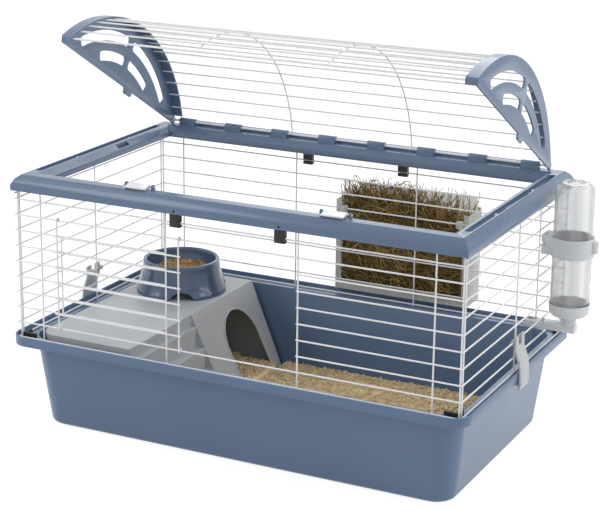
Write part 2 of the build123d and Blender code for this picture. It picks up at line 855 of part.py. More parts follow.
def tub_inner(height):
    """Half sizes of the tub's inside at a height, in X and Y."""
    share = (height - tub_wall) / (rim_floor_z - tub_wall)
    half_x = tub_base_x + (tub_top_x - tub_base_x) * share - tub_wall
    half_y = tub_base_y + (tub_top_y - tub_base_y) * share - tub_wall
    return half_x, half_y


bed_foot_x, bed_foot_y = tub_inner(tub_wall + tub_foot_fillet)
bed_top_x, bed_top_y = tub_inner(bedding_depth)
bed_left_x = house_foot_right_x + bedding_gap
with BuildPart() as bedding_floor:
    with BuildSketch(Plane.XY.offset(tub_wall + bedding_gap)):
        bed_foot = (2 * (bed_foot_x - tub_foot_fillet), 2 * (bed_foot_y - tub_foot_fillet))
        RectangleRounded(*bed_foot, tub_base_radius - 10)
    with BuildSketch(Plane.XY.offset(bedding_depth)):
        bed_top = (2 * (bed_top_x - bedding_gap), 2 * (bed_top_y - bedding_gap))
        RectangleRounded(*bed_top, tub_top_radius - tub_wall)
    loft()
    split(bisect_by=Plane((bed_left_x, 0, 0), z_dir=(1, 0, 0)), keep=Keep.TOP)
save(bedding_floor.part, "bedding_floor")

den_left_x = house_foot_left_x + house_wall + 12
den_half_y = house_foot_y - house_wall - 12
with BuildPart() as bedding_den:
    with BuildSketch(Plane.XY.offset(tub_wall + bedding_gap)):
        with Locations(((den_left_x + house_top_right_x) / 2, arch_y / 2)):
            Rectangle(house_top_right_x - den_left_x, 2 * den_half_y - arch_y)
        with Locations(((house_top_right_x + bed_left_x - bedding_gap) / 2, arch_y)):
            Rectangle(bed_left_x - house_top_right_x + bedding_gap, arch_width - 4 * bedding_gap)
    extrude(amount=den_bedding_depth - tub_wall)
save(bedding_den.part, "bedding_den")


# Hay rack: an open box hung by two hooks on a row of the back wall, and its hay

rack_front_y = panel_y + wire_corner_r + wire_clearance + 0.5
rack_back_y = rack_front_y + rack_depth
rack_mid_x = rack_left_x + rack_width / 2
rack_mid_y = (rack_front_y + rack_back_y) / 2
hook_row = row_z[6]
hook_under_z = hook_row + wire_r + hook_gap
with BuildPart() as hay_rack:
    with BuildSketch(Plane.XY.offset(rack_bottom_z)) as rack_plan:
        with Locations((rack_mid_x, rack_mid_y)):
            Rectangle(rack_width, rack_depth)
        fillet(rack_plan.vertices().group_by(Axis.Y)[-1], radius=rack_corner_r)
    extrude(amount=rack_side_top_z - rack_bottom_z)
    with BuildSketch(Plane.XY.offset(rack_side_top_z)):
        with Locations((rack_mid_x, rack_back_y - rack_wall)):
            Rectangle(rack_width - 2 * rack_corner_r, 2 * rack_wall)
    extrude(amount=rack_back_top_z - rack_side_top_z)
    with BuildSketch(Plane.XY.offset(rack_bottom_z + rack_wall)) as rack_hollow:
        with Locations((rack_mid_x, rack_mid_y - rack_wall)):
            Rectangle(rack_width - 2 * rack_wall, rack_depth)
        fillet(rack_hollow.vertices().group_by(Axis.Y)[-1], radius=rack_corner_r - rack_wall)
    extrude(amount=rack_back_top_z - rack_bottom_z, mode=Mode.SUBTRACT)
    with BuildSketch(Plane.XY.offset(rack_bottom_z)):
        with Locations((rack_mid_x, rack_front_y + rack_wall / 2)):
            Rectangle(rack_width, rack_wall)
    extrude(amount=rack_lip_height)
    for hook_x in (rack_left_x + rack_hook_inset, rack_left_x + rack_width - rack_hook_inset):
        with BuildSketch(Plane.YZ.offset(hook_x)):
            with BuildLine():
                Polyline(
                    (rack_front_y, hook_under_z - 12), (rack_front_y, hook_under_z),
                    (panel_y - 3.6, hook_under_z), (panel_y - 3.6, hook_under_z - 8), (panel_y - 6, hook_under_z - 8),
                    (panel_y - 6, hook_under_z + 3), (rack_front_y + rack_wall, hook_under_z + 3),
                    (rack_front_y + rack_wall, hook_under_z - 12), close=True,
                )
            make_face()
        extrude(amount=rack_hook_width / 2, both=True)
    for strap_x in (rack_left_x + rack_strap_width / 2, rack_left_x + rack_width - rack_strap_width / 2):
        with BuildSketch(Plane.XY.offset(rack_bottom_z)):
            with Locations((strap_x, rack_front_y + rack_wall / 2)):
                Rectangle(rack_strap_width, rack_wall)
        extrude(amount=rack_side_top_z - rack_bottom_z)
save(hay_rack.part, "hay_rack")

with BuildPart() as hay:
    with BuildSketch(Plane.XY.offset(rack_bottom_z + rack_wall)) as hay_plan:
        with Locations((rack_mid_x, rack_mid_y + rack_wall / 2 - 0.5)):
            Rectangle(rack_width - 2 * rack_wall, rack_depth - 3 * rack_wall)
        fillet(hay_plan.vertices().group_by(Axis.Y)[-1], radius=rack_corner_r)
    extrude(amount=rack_side_top_z - rack_bottom_z - rack_wall)
    with BuildSketch(Plane.XY.offset(rack_side_top_z)):
        with Locations((rack_mid_x, rack_mid_y)):
            Rectangle(rack_width - 4 * rack_wall, rack_depth - 4 * rack_wall)
    with BuildSketch(Plane.XY.offset(hay_top_z)):
        with Locations((rack_mid_x - 14, rack_mid_y + 4)):
            Rectangle(rack_width * 0.6, rack_depth * 0.4)
    loft()
save(hay.part, "hay")


# Bottle, its cap with the drinking trough, and the ring that holds it on the right-hand wall

neck_top_z = bottle_bottom_z + bottle_neck_height
shoulder_z = neck_top_z + bottle_shoulder_height
dome_z = bottle_top_z - bottle_dome_r
disc_r = bottle_r - bottle_dome_r
disc_z = bottle_top_z - bottle_disc_depth
with BuildPart() as bottle:
    with BuildSketch(Plane.XZ):
        with BuildLine():
            Polyline(
                (bottle_neck_r - bottle_wall, bottle_bottom_z), (bottle_neck_r, bottle_bottom_z),
                (bottle_neck_r, neck_top_z), (bottle_r - 2, shoulder_z - 6), (bottle_r, shoulder_z),
                (bottle_r, dome_z),
            )
            RadiusArc((bottle_r, dome_z), (disc_r, bottle_top_z), -bottle_dome_r)
            Polyline(
                (disc_r, bottle_top_z), (disc_r - 3, disc_z), (0, disc_z), (0, disc_z - bottle_wall),
                (disc_r - 2, disc_z - bottle_wall), (disc_r + 1, bottle_top_z - bottle_wall),
            )
            RadiusArc(
                (disc_r + 1, bottle_top_z - bottle_wall), (bottle_r - bottle_wall, dome_z),
                bottle_dome_r - bottle_wall,
            )
            Polyline(
                (bottle_r - bottle_wall, dome_z), (bottle_r - bottle_wall, shoulder_z),
                (bottle_r - 2 - bottle_wall, shoulder_z - 5), (bottle_neck_r - bottle_wall, neck_top_z + 1),
                (bottle_neck_r - bottle_wall, bottle_bottom_z),
            )
        make_face()
    revolve(axis=Axis.Z)
bottle_place = Location((bottle_x, bottle_y, 0))
save(bottle_place * bottle.part, "bottle")

with BuildPart() as bottle_cap:
    with BuildSketch(Plane.XZ):
        with BuildLine():
            Polyline(
                (0, cap_bottom_z), (cap_r - 5, cap_bottom_z), (cap_r - 1.5, cap_bottom_z + 4),
                (cap_r, cap_top_z), (bottle_r + 0.1, cap_top_z), (bottle_r - 1.8, shoulder_z - 6.2),
                (bottle_neck_r + 0.1, neck_top_z - 0.2), (bottle_neck_r + 0.1, cap_bottom_z + cap_wall),
                (0, cap_bottom_z + cap_wall), close=True,
            )
        make_face()
    revolve(axis=Axis.Z)
    with BuildSketch(Plane.YZ.offset(trough_inner_x - bottle_x)):
        with Locations((0, (trough_top_z + trough_bottom_z) / 2)):
            RectangleRounded(trough_width, trough_top_z - trough_bottom_z, 4)
    extrude(amount=bottle_x - trough_inner_x + 12)
    with BuildSketch(Plane.XY.offset(trough_top_z)):
        with Locations((trough_inner_x - bottle_x + 10, 0)):
            RectangleRounded(16, trough_width - 5, 4)
    extrude(amount=-(trough_top_z - trough_bottom_z - 4), mode=Mode.SUBTRACT)
    with BuildSketch(Plane.XY.offset(trough_top_z - 3)):
        Circle(trough_stem_r)
    extrude(amount=cap_bottom_z - trough_top_z + 4)
save(bottle_place * bottle_cap.part, "bottle_cap")

ring_inner_r = bottle_r + ring_gap
ring_row = row_z[7]
bracket_front_x = panel_x - bottle_x - bracket_overhang
with BuildPart() as bottle_ring:
    with BuildSketch(Plane.XY.offset(ring_bottom_z)):
        Circle(ring_inner_r + ring_wall)
        with Locations((bracket_front_x / 2, 0)):
            Rectangle(-bracket_front_x, bracket_width)
        Circle(ring_inner_r, mode=Mode.SUBTRACT)
    extrude(amount=ring_height)
    with BuildSketch(Plane.XZ):
        with Locations((panel_x - bottle_x + wire_corner_r + wire_clearance - bracket_overhang, ring_row)):
            Rectangle(2 * bracket_overhang, 2 * (wire_corner_r + wire_clearance))
    extrude(amount=bracket_width, both=True, mode=Mode.SUBTRACT)
    with BuildSketch(Plane.XY.offset(ring_bottom_z + 8)):
        with Locations((ring_inner_r + 2, 0)):
            Circle(8)
        Circle(ring_inner_r, mode=Mode.SUBTRACT)
    extrude(amount=ring_height - 12)
save(bottle_place * bottle_ring.part, "bottle_ring")
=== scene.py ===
import json
import math
import random

import bmesh
import bpy
import numpy as np
from bpy.props import FloatProperty, FloatVectorProperty, IntProperty, PointerProperty
from bpy.types import Operator, Panel, PropertyGroup
from mathutils import Matrix, Vector, noise

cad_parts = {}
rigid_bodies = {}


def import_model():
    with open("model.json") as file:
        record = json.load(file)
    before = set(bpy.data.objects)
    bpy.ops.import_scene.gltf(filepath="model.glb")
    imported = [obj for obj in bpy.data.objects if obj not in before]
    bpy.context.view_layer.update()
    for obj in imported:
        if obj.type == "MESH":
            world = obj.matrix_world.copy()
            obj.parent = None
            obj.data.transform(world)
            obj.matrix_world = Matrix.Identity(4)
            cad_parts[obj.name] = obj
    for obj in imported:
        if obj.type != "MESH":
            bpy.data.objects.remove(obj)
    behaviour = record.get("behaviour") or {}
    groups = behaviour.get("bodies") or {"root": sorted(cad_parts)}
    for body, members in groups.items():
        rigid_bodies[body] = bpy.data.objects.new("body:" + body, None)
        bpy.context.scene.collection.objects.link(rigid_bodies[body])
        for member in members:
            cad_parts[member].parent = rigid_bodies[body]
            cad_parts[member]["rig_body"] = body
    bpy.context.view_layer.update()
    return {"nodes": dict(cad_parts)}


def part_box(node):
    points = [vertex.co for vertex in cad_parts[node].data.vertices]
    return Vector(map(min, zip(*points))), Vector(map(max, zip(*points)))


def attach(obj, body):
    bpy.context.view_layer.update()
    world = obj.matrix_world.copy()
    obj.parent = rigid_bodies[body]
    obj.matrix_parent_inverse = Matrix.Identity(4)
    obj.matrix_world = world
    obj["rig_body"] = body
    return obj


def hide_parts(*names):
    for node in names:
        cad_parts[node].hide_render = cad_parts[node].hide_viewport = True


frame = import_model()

bl_info = {
    "name": "Rodent cage looks",
    "version": (1, 0, 0),
    "blender": (4, 5, 0),
    "location": "View3D > Sidebar > Cage",
    "description": "Dresses the packed rodent cage with wire, plastic, hay, shavings and feed",
    "category": "Object",
}


# Settings

def colour(label, note, value):
    """Colour setting, given as 0 to 255 screen values."""
    linear = [((c / 255 + 0.055) / 1.055) ** 2.4 if c > 10 else c / 255 / 12.92 for c in value]
    return FloatVectorProperty(
        name=label, description=note, subtype="COLOR", size=3, min=0, max=1, default=linear
    )


def length(label, note, millimetres):
    """Length setting, given in millimetres and kept in metres."""
    return FloatProperty(
        name=label, description=note, subtype="DISTANCE", unit="LENGTH", precision=5,
        default=millimetres / 1000,
    )


def whole(label, note, value, least):
    """Whole-number setting."""
    return IntProperty(name=label, description=note, default=value, min=least)


class CageWire(PropertyGroup):
    """Sizes of the wire walls, the door and the lid."""
    diameter: length("Wire diameter", "Thickness of the wall and lid wires", 2.6)
    front_diameter: length("Front wire diameter", "Thickness of the lid's front wire", 3.4)
    rod_diameter: length("Hinge rod diameter", "Thickness of the lid's hinge rod", 4.0)
    sides: whole("Sides", "Sides of each round wire", 14, 8)
    weld: length("Weld depth", "How far crossing wires sink into each other", 0.2)
    row_pitch: length("Row pitch", "Height from one row to the next", 25.3)
    sill: length("Sill height", "Height of the row below the door", 177.0)
    foot: length("Wall foot", "Height at which the posts stand in the tub's rim", 149.5)
    top: length("Wall top", "Height at which the posts meet the top frame", 393.7)
    half_length: length("Half length", "Middle of the cage to the end walls", 378.3)
    half_width: length("Half width", "Middle of the cage to the front and back walls", 224.9)
    door_width: length("Door width", "Width over the door's two posts", 220.0)
    door_left: length("Door left edge", "Left edge of the door where it stands open", -301.0)


class CageLid(PropertyGroup):
    """Shape of the domed wire lid."""
    open_angle: FloatProperty(
        name="Open angle", description="How far the lid stands open", subtype="ANGLE",
        default=math.radians(30),
    )
    hinge_y: length("Hinge Y", "Hinge rod's distance behind the middle", 209.0)
    hinge_z: length("Hinge height", "Hinge rod's height", 425.5)
    depth: length("Depth", "Hinge rod to the front edge", 388.0)
    apex: length("Apex", "Hinge rod to the highest wire", 194.0)
    rise: length("Rise", "Height of the dome", 93.0)
    front_height: length("Front height", "Height of the front end of the dome", 2.0)
    front_setback: length("Front setback", "Front wire's distance from the end of the dome", 1.8)
    plate_x: length("Plate position", "Middle of the cage to the end plates", 345.0)
    bow_x: length("Bow position", "Middle of the cage to the cross wires", 110.0)
    intervals: whole("Intervals", "Wire intervals round the dome", 18, 6)


class CageFinish(PropertyGroup):
    """Colours of the plastics, the wire and what is in the cage."""
    tub: colour("Tub", "Slate blue of the tub", (86, 110, 141))
    frame: colour("Frame", "Blue grey of the top frame and end plates", (88, 110, 138))
    wire: colour("Wire", "White coat of the wires", (236, 236, 238))
    black: colour("Black clips", "Black of the small clips", (22, 23, 26))
    lever: colour("Side clips", "Grey of the two levers", (176, 180, 184))
    latch: colour("Latches", "White of the lid latches", (232, 234, 238))
    house: colour("House", "Pale grey of the house", (186, 189, 192))
    bowl: colour("Bowl", "Dark blue of the bowl", (74, 94, 120))
    rack: colour("Hay rack", "Smoke grey of the hay rack", (226, 227, 224))
    ring: colour("Bottle ring", "Grey of the ring and cap", (200, 203, 205))
    bottle: colour("Bottle", "Tint of the clear bottle", (243, 244, 245))
    straw: colour("Straw", "Pale strands of the hay", (198, 172, 114))
    stem: colour("Stems", "Green brown strands of the hay", (128, 106, 58))
    shaving: colour("Shavings", "Pale wood shavings", (255, 231, 186))
    feed: colour("Pellets", "Brown pellets of the feed", (112, 78, 48))
    husk: colour("Husks", "Tan husks in the feed", (200, 172, 122))
    seed: colour("Seeds", "Red brown seeds in the feed", (168, 116, 92))
    leaf: colour("Leaf", "Green flakes in the feed", (120, 132, 62))


class CageFill(PropertyGroup):
    """How much hay, bedding and feed there is."""
    strands: whole("Hay strands", "Strands of hay in the rack", 3400, 100)
    flakes: whole("Shavings", "Shavings lying on the bedding", 9600, 100)
    pellets: whole("Feed", "Pieces of feed in the bowl", 420, 20)
    seed: whole("Seed", "Seed of everything that is scattered", 7, 0)


def settings():
    """The four groups of settings: wire, lid, finish and fill."""
    scene = bpy.context.scene
    return scene.cage_wire, scene.cage_lid, scene.cage_finish, scene.cage_fill


# Geometry helpers

def turned(x, y, degrees):
    """Place of a wall: its own X runs along it and its own Y points behind it."""
    return Matrix.Translation((x, y, 0)) @ Matrix.Rotation(math.radians(degrees), 4, "Z")


def mesh_piece(name, vertices, faces=(), edges=()):
    """New object with its place in its mesh."""
    mesh = bpy.data.meshes.new(name)
    mesh.from_pydata([tuple(v) for v in vertices], list(edges), list(faces))
    mesh.update()
    piece = bpy.data.objects.new(name, mesh)
    bpy.context.scene.collection.objects.link(piece)
    return piece


def give_tones(piece, values):
    """Store one tone for each point of a piece, which its material turns into a colour."""
    piece.data.attributes.new("tone", "FLOAT", "POINT").data.foreach_set("value", values)


def chains(name, lines, tones=None):
    """Object of loose edge chains, one for each list of points, with an optional tone for each."""
    vertices, edges, values = [], [], []
    for number, line in enumerate(lines):
        start = len(vertices)
        vertices += [tuple(p) for p in line]
        edges += [(start + k, start + k + 1) for k in range(len(line) - 1)]
        values += [tones[number] if tones is not None else 0.5] * len(line)
    piece = mesh_piece(name, vertices, edges=edges)
    give_tones(piece, values)
    return piece


def applied(piece):
    """Turn a piece's modifiers into its own mesh."""
    evaluated = piece.evaluated_get(bpy.context.evaluated_depsgraph_get())
    mesh = bpy.data.meshes.new_from_object(evaluated)
    piece.modifiers.clear()
    piece.data = mesh
    return piece


def place(piece, body, slot, *nodes):
    """Ride on a body and stand for CAD nodes, which it hides. The slot argument is not used."""
    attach(piece, body)
    if nodes:
        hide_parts(*nodes)
    return piece


def eased(node, radius_mm, segments):
    """Copy of a CAD node with its edges rounded over, as a moulding's are."""
    merge_distance, flat_angle, sharp_angle = 0.00001, math.radians(0.6), math.radians(32)
    work = bmesh.new()
    work.from_mesh(frame["nodes"][node].data)
    bmesh.ops.remove_doubles(work, verts=work.verts, dist=merge_distance)
    bmesh.ops.dissolve_limit(work, angle_limit=flat_angle, verts=work.verts, edges=work.edges)
    mesh = bpy.data.meshes.new(node + "_eased")
    work.to_mesh(mesh)
    work.free()
    mesh.materials.clear()
    mesh.shade_smooth()
    piece = bpy.data.objects.new(node + "_moulded", mesh)
    bpy.context.scene.collection.objects.link(piece)
    rounding = piece.modifiers.new("Rounded edges", "BEVEL")
    rounding.width = radius_mm / 1000
    rounding.segments = segments
    rounding.limit_method = "ANGLE"
    rounding.angle_limit = sharp_angle
    rounding.harden_normals = True
    rounding.use_clamp_overlap = True
    return applied(piece)


# Geometry node trees

class Tree:
    """Geometry node tree with named inputs that ends in Realize Instances and Set Material."""

    def __init__(self, name, inputs):
        self.group = bpy.data.node_groups.new(name, "GeometryNodeTree")
        self.group.is_modifier = True
        self.group.interface.new_socket(name="Geometry", in_out="INPUT", socket_type="NodeSocketGeometry")
        for label, kind in inputs:
            self.group.interface.new_socket(name=label, in_out="INPUT", socket_type="NodeSocket" + kind)
        self.group.interface.new_socket(name="Geometry", in_out="OUTPUT", socket_type="NodeSocketGeometry")
        self.start = self.group.nodes.new("NodeGroupInput")
        self.end = self.group.nodes.new("NodeGroupOutput")

    def add(self, kind, **values):
        """New node with some of its settings and unlinked inputs given by name."""
        node = self.group.nodes.new(kind)
        for label, value in values.items():
            if hasattr(node, label):
                setattr(node, label, value)
            else:
                node.inputs[label.replace("_", " ")].default_value = value
        return node

    def link(self, output, target):
        """Join an output to an input."""
        self.group.links.new(output, target)

    def close(self, geometry):
        """Realize what is there, smooth it and give it the Material input."""
        realize = self.add("GeometryNodeRealizeInstances")
        smooth = self.add("GeometryNodeSetShadeSmooth")
        coat = self.add("GeometryNodeSetMaterial")
        self.link(geometry, realize.inputs[0])
        self.link(realize.outputs[0], smooth.inputs[0])
        self.link(smooth.outputs[0], coat.inputs[0])
        self.link(self.start.outputs["Material"], coat.inputs["Material"])
        self.link(coat.outputs[0], self.end.inputs[0])
        return self.group


def run(piece, group, values):
    """Run a tree on a piece with its inputs set by identifier, and keep the resulting plain mesh."""
    modifier = piece.modifiers.new(group.name, "NODES")
    modifier.node_group = group
    for item in group.interface.items_tree:
        if item.in_out == "INPUT" and item.name in values:
            modifier[item.identifier] = values[item.name]
    return applied(piece)


def wire_tree():
    """Round wire along every chain of edges."""
    tree = Tree("Round wire", [("Diameter", "Float"), ("Sides", "Int"), ("Material", "Material")])
    curve = tree.add("GeometryNodeMeshToCurve")
    ring = tree.add("GeometryNodeCurvePrimitiveCircle")
    radius = tree.add("ShaderNodeMath", operation="DIVIDE")
    radius.inputs[1].default_value = 2
    sweep = tree.add("GeometryNodeCurveToMesh")
    sweep.inputs["Fill Caps"].default_value = True
    tree.link(tree.start.outputs["Geometry"], curve.inputs["Mesh"])
    tree.link(tree.start.outputs["Diameter"], radius.inputs[0])
    tree.link(tree.start.outputs["Sides"], ring.inputs["Resolution"])
    tree.link(radius.outputs[0], ring.inputs["Radius"])
    tree.link(curve.outputs["Curve"], sweep.inputs["Curve"])
    tree.link(ring.outputs["Curve"], sweep.inputs["Profile Curve"])
    return tree.close(sweep.outputs["Mesh"])


def scatter_tree(name):
    """Copies of one small shape at given points, each turned and sized by the points' own values."""
    tree = Tree(name, [("Shape", "Object"), ("Material", "Material")])
    shape = tree.add("GeometryNodeObjectInfo", transform_space="ORIGINAL")
    turn = tree.add("GeometryNodeInputNamedAttribute", data_type="FLOAT_VECTOR")
    turn.inputs["Name"].default_value = "turn"
    size = tree.add("GeometryNodeInputNamedAttribute", data_type="FLOAT_VECTOR")
    size.inputs["Name"].default_value = "size"
    copies = tree.add("GeometryNodeInstanceOnPoints")
    tree.link(tree.start.outputs["Geometry"], copies.inputs["Points"])
    tree.link(tree.start.outputs["Shape"], shape.inputs["Object"])
    tree.link(shape.outputs["Geometry"], copies.inputs["Instance"])
    tree.link(turn.outputs["Attribute"], copies.inputs["Rotation"])
    tree.link(size.outputs["Attribute"], copies.inputs["Scale"])
    return tree.close(copies.outputs["Instances"])


# Materials

class Finish:
    """Principled material with object coordinates at hand."""

    def __init__(self, name):
        self.material = bpy.data.materials.new(name)
        self.material.use_nodes = True
        self.nodes = self.material.node_tree.nodes
        self.links = self.material.node_tree.links
        self.shader = self.nodes["Principled BSDF"]
        self.place = self.nodes.new("ShaderNodeTexCoord").outputs["Object"]

    def noise(self, scale, detail, roughness, stretch=(1, 1, 1)):
        """Noise from 0 to 1 on the piece's own coordinates."""
        mapping = self.nodes.new("ShaderNodeMapping")
        mapping.inputs["Scale"].default_value = stretch
        self.links.new(self.place, mapping.inputs["Vector"])
        texture = self.nodes.new("ShaderNodeTexNoise")
        texture.inputs["Scale"].default_value = scale
        texture.inputs["Detail"].default_value = detail
        texture.inputs["Roughness"].default_value = roughness
        self.links.new(mapping.outputs[0], texture.inputs["Vector"])
        return texture.outputs["Fac"]

    def between(self, value, low, high, start=0.3, stop=0.7):
        """Map a 0 to 1 value to a range."""
        node = self.nodes.new("ShaderNodeMapRange")
        node.inputs["From Min"].default_value = start
        node.inputs["From Max"].default_value = stop
        node.inputs["To Min"].default_value = low
        node.inputs["To Max"].default_value = high
        self.links.new(value, node.inputs["Value"])
        return node.outputs["Result"]

    def blend(self, factor, one, two):
        """Mix two colours, each a triple or a socket."""
        node = self.nodes.new("ShaderNodeMix")
        node.data_type = "RGBA"
        self.links.new(factor, node.inputs["Factor"])
        for socket, value in ((node.inputs[6], one), (node.inputs[7], two)):
            if hasattr(value, "is_output"):
                self.links.new(value, socket)
            else:
                socket.default_value = (*value, 1)
        return node.outputs[2]

    def bump(self, height, strength, distance):
        """Shallow relief in the shading, from a height of 0 to 1."""
        node = self.nodes.new("ShaderNodeBump")
        node.inputs["Strength"].default_value = strength
        node.inputs["Distance"].default_value = distance
        self.links.new(height, node.inputs["Height"])
        self.links.new(node.outputs["Normal"], self.shader.inputs["Normal"])

    def set(self, **values):
        """Set constants straight on the shader's inputs."""
        for label, value in values.items():
            self.shader.inputs[label.replace("_", " ")].default_value = value

    def drive(self, label, output):
        """Drive one of the shader's inputs by a pattern."""
        self.links.new(output, self.shader.inputs[label])


def tinted(value, factor):
    """Lighter or darker form of a colour."""
    return tuple(min(1.0, c * factor) for c in value)


def moulded_plastic(name, value, roughness, coat=0.0, drift=0.04):
    """Injection-moulded plastic: faint flow marks, a barely uneven skin and handling scuffs."""
    finish = Finish(name)
    flow = finish.noise(scale=5, detail=4, roughness=0.55)
    scuff = finish.noise(scale=120, detail=6, roughness=0.7, stretch=(1, 1, 2.5))
    skin = finish.noise(scale=45, detail=2, roughness=0.4)
    base = finish.blend(finish.between(flow, 0, 1), tinted(value, 1 - drift), tinted(value, 1 + drift))
    worn = finish.between(scuff, 0, 0.3, start=0.66, stop=0.84)
    finish.drive("Base Color", finish.blend(worn, base, tinted(value, 1.2)))
    finish.drive("Roughness", finish.between(scuff, roughness - 0.04, roughness + 0.10))
    finish.bump(skin, strength=0.08, distance=0.0006)
    finish.set(IOR=1.48, Coat_Weight=coat, Coat_Roughness=0.12)
    return finish.material


def powder_coat(name, value):
    """Baked white coat on wire, with its orange-peel skin and a few dull spots."""
    finish = Finish(name)
    peel = finish.noise(scale=700, detail=2, roughness=0.4)
    dull = finish.noise(scale=60, detail=5, roughness=0.6)
    spots = finish.between(dull, 0, 1, start=0.35, stop=0.75)
    finish.drive("Base Color", finish.blend(spots, value, tinted(value, 0.93)))
    finish.drive("Roughness", finish.between(dull, 0.22, 0.42))
    finish.bump(peel, strength=0.05, distance=0.0002)
    finish.set(IOR=1.5)
    return finish.material


def smoke_plastic(name, value, transmission, roughness):
    """Translucent moulded plastic with a slight haze."""
    finish = Finish(name)
    haze = finish.noise(scale=9, detail=2, roughness=0.5)
    cloud = finish.blend(finish.between(haze, 0, 1), tinted(value, 0.94), tinted(value, 1.05))
    finish.drive("Base Color", cloud)
    finish.drive("Roughness", finish.between(haze, roughness - 0.03, roughness + 0.05))
    finish.set(Transmission_Weight=transmission, IOR=1.25)
    return finish.material


def clear_plastic(name, value):
    """Clear bottle plastic, faintly frosted, with the soft upright bands of its blown wall."""
    finish = Finish(name)
    bands = finish.noise(scale=70, detail=2, roughness=0.4, stretch=(1, 1, 0.02))
    haze = finish.noise(scale=240, detail=4, roughness=0.6)
    finish.drive("Base Color", finish.blend(finish.between(bands, 0, 1), tinted(value, 0.90), value))
    finish.drive("Roughness", finish.between(haze, 0.05, 0.16))
    finish.drive("Transmission Weight", finish.between(bands, 0.72, 0.97))
    finish.bump(bands, strength=0.5, distance=0.001)
    finish.set(IOR=1.3)
    return finish.material


def toned(name, colours, roughness, scale, relief):
    """Dry plant stuff whose pieces take one of the given colours by their tone, with fine fibres."""
    finish = Finish(name)
    tone = finish.nodes.new("ShaderNodeAttribute")
    tone.attribute_name = "tone"
    ramp = finish.nodes.new("ShaderNodeValToRGB")
    stops = ramp.color_ramp.elements
    while len(stops) < len(colours):
        stops.new(0.5)
    for number, value in enumerate(colours):
        stops[number].position = number / (len(colours) - 1)
        stops[number].color = (*value, 1)
    finish.links.new(tone.outputs["Fac"], ramp.inputs["Fac"])
    fibre = finish.noise(scale, detail=5, roughness=0.7)
    grain = finish.between(fibre, 0, 0.4)
    finish.drive("Base Color", finish.blend(grain, ramp.outputs["Color"], tinted(colours[0], 0.7)))
    finish.drive("Roughness", finish.between(fibre, roughness - 0.1, roughness + 0.1))
    finish.bump(fibre, strength=relief, distance=0.0005)
    finish.set(IOR=1.4, Specular_IOR_Level=0.3)
    return finish.material


def all_materials(look):
    """Every material of the cage, by name."""
    hay = (tinted(look.stem, 0.45), look.stem, look.straw, tinted(look.straw, 1.5))
    wood = (tinted(look.shaving, 0.92), look.shaving, look.shaving)
    grains = (look.feed, look.husk, look.seed, look.leaf, look.husk)
    return {
        "tub": moulded_plastic("Slate tub plastic", look.tub, 0.30, coat=0.15),
        "frame": moulded_plastic("Blue frame plastic", look.frame, 0.28, coat=0.2),
        "wire": powder_coat("White wire coat", look.wire),
        "black": moulded_plastic("Black clip plastic", look.black, 0.42),
        "lever": moulded_plastic("Grey lever plastic", look.lever, 0.34, coat=0.1),
        "latch": moulded_plastic("White latch plastic", look.latch, 0.32, coat=0.1),
        "house": moulded_plastic("House plastic", look.house, 0.44, drift=0.06),
        "bowl": moulded_plastic("Bowl plastic", look.bowl, 0.18, coat=0.4),
        "rack": smoke_plastic("Smoke rack plastic", look.rack, transmission=0.60, roughness=0.28),
        "ring": moulded_plastic("Ring plastic", look.ring, 0.30, coat=0.2),
        "bottle": clear_plastic("Clear bottle plastic", look.bottle),
        "hay": toned("Dry hay", hay, roughness=0.7, scale=420, relief=0.4),
        "shavings": toned("Wood shavings", wood, roughness=0.75, scale=500, relief=0.2),
        "feed": toned("Mixed feed", grains, roughness=0.7, scale=600, relief=0.4),
    }


# Filled by main() before the operators run
COATS = {}

# Rows of each wall, counted from the lowest: the doorway lies between these two
ROWS = 10
SILL_ROW = 1
HEADER_ROW = 8

# X at which the den's flat roof meets its sloping front
ROOF_EDGE_X = -0.186


# Wire paths, in metres

def wall_wires(rows, row_span, posts, post_span, wall):
    """Centre lines of one wall's wires, rows in front and posts in the layer behind."""
    wire = settings()[0]
    behind = wire.diameter - wire.weld
    lines = [[(row_span[0], 0, z), (row_span[1], 0, z)] for z in rows]
    lines += [[(x, behind, post_span[0]), (x, behind, post_span[1])] for x in posts]
    return [[wall @ Vector(p) for p in line] for line in lines]


def row_heights():
    """Height of every row of the walls."""
    wire = settings()[0]
    return [wire.sill + (k - SILL_ROW) * wire.row_pitch for k in range(ROWS)]


def dome_arcs():
    """Radii of the lid section's back and front arcs, and the length of the back one."""
    lid = settings()[1]
    drop = lid.rise - lid.front_height
    back = (lid.apex ** 2 + lid.rise ** 2) / (2 * lid.rise)
    front = ((lid.depth - lid.apex) ** 2 + drop ** 2) / (2 * drop)
    return back, front, back * math.asin(lid.apex / back)


def dome_point(distance, inset=0.0):
    """Point on the lid's section, as far along it from the hinge, in the lid's own u and v."""
    lid = settings()[1]
    back, front, back_run = dome_arcs()
    radius = back if distance < back_run else front
    turn = (distance - back_run) / radius
    reach = radius - inset
    return lid.apex + reach * math.sin(turn), lid.rise - radius + reach * math.cos(turn)


def dome_run():
    """Length of the lid's section."""
    lid = settings()[1]
    _, front, back_run = dome_arcs()
    return back_run + front * math.asin((lid.depth - lid.apex) / front)


def on_lid(x, u, v):
    """Point of the open lid in the cage's frame."""
    lid = settings()[1]
    c, s = math.cos(lid.open_angle), math.sin(lid.open_angle)
    return Vector((x, lid.hinge_y - u * c + v * s, lid.hinge_z + u * s + v * c))


def round_wires(name, lines, group, diameter, sides, coat, tones=None):
    """Lines of points swept into round wire of one coat."""
    return run(chains(name, lines, tones), group, {
        "Diameter": diameter, "Sides": sides, "Material": COATS[coat]
    })


# Operators

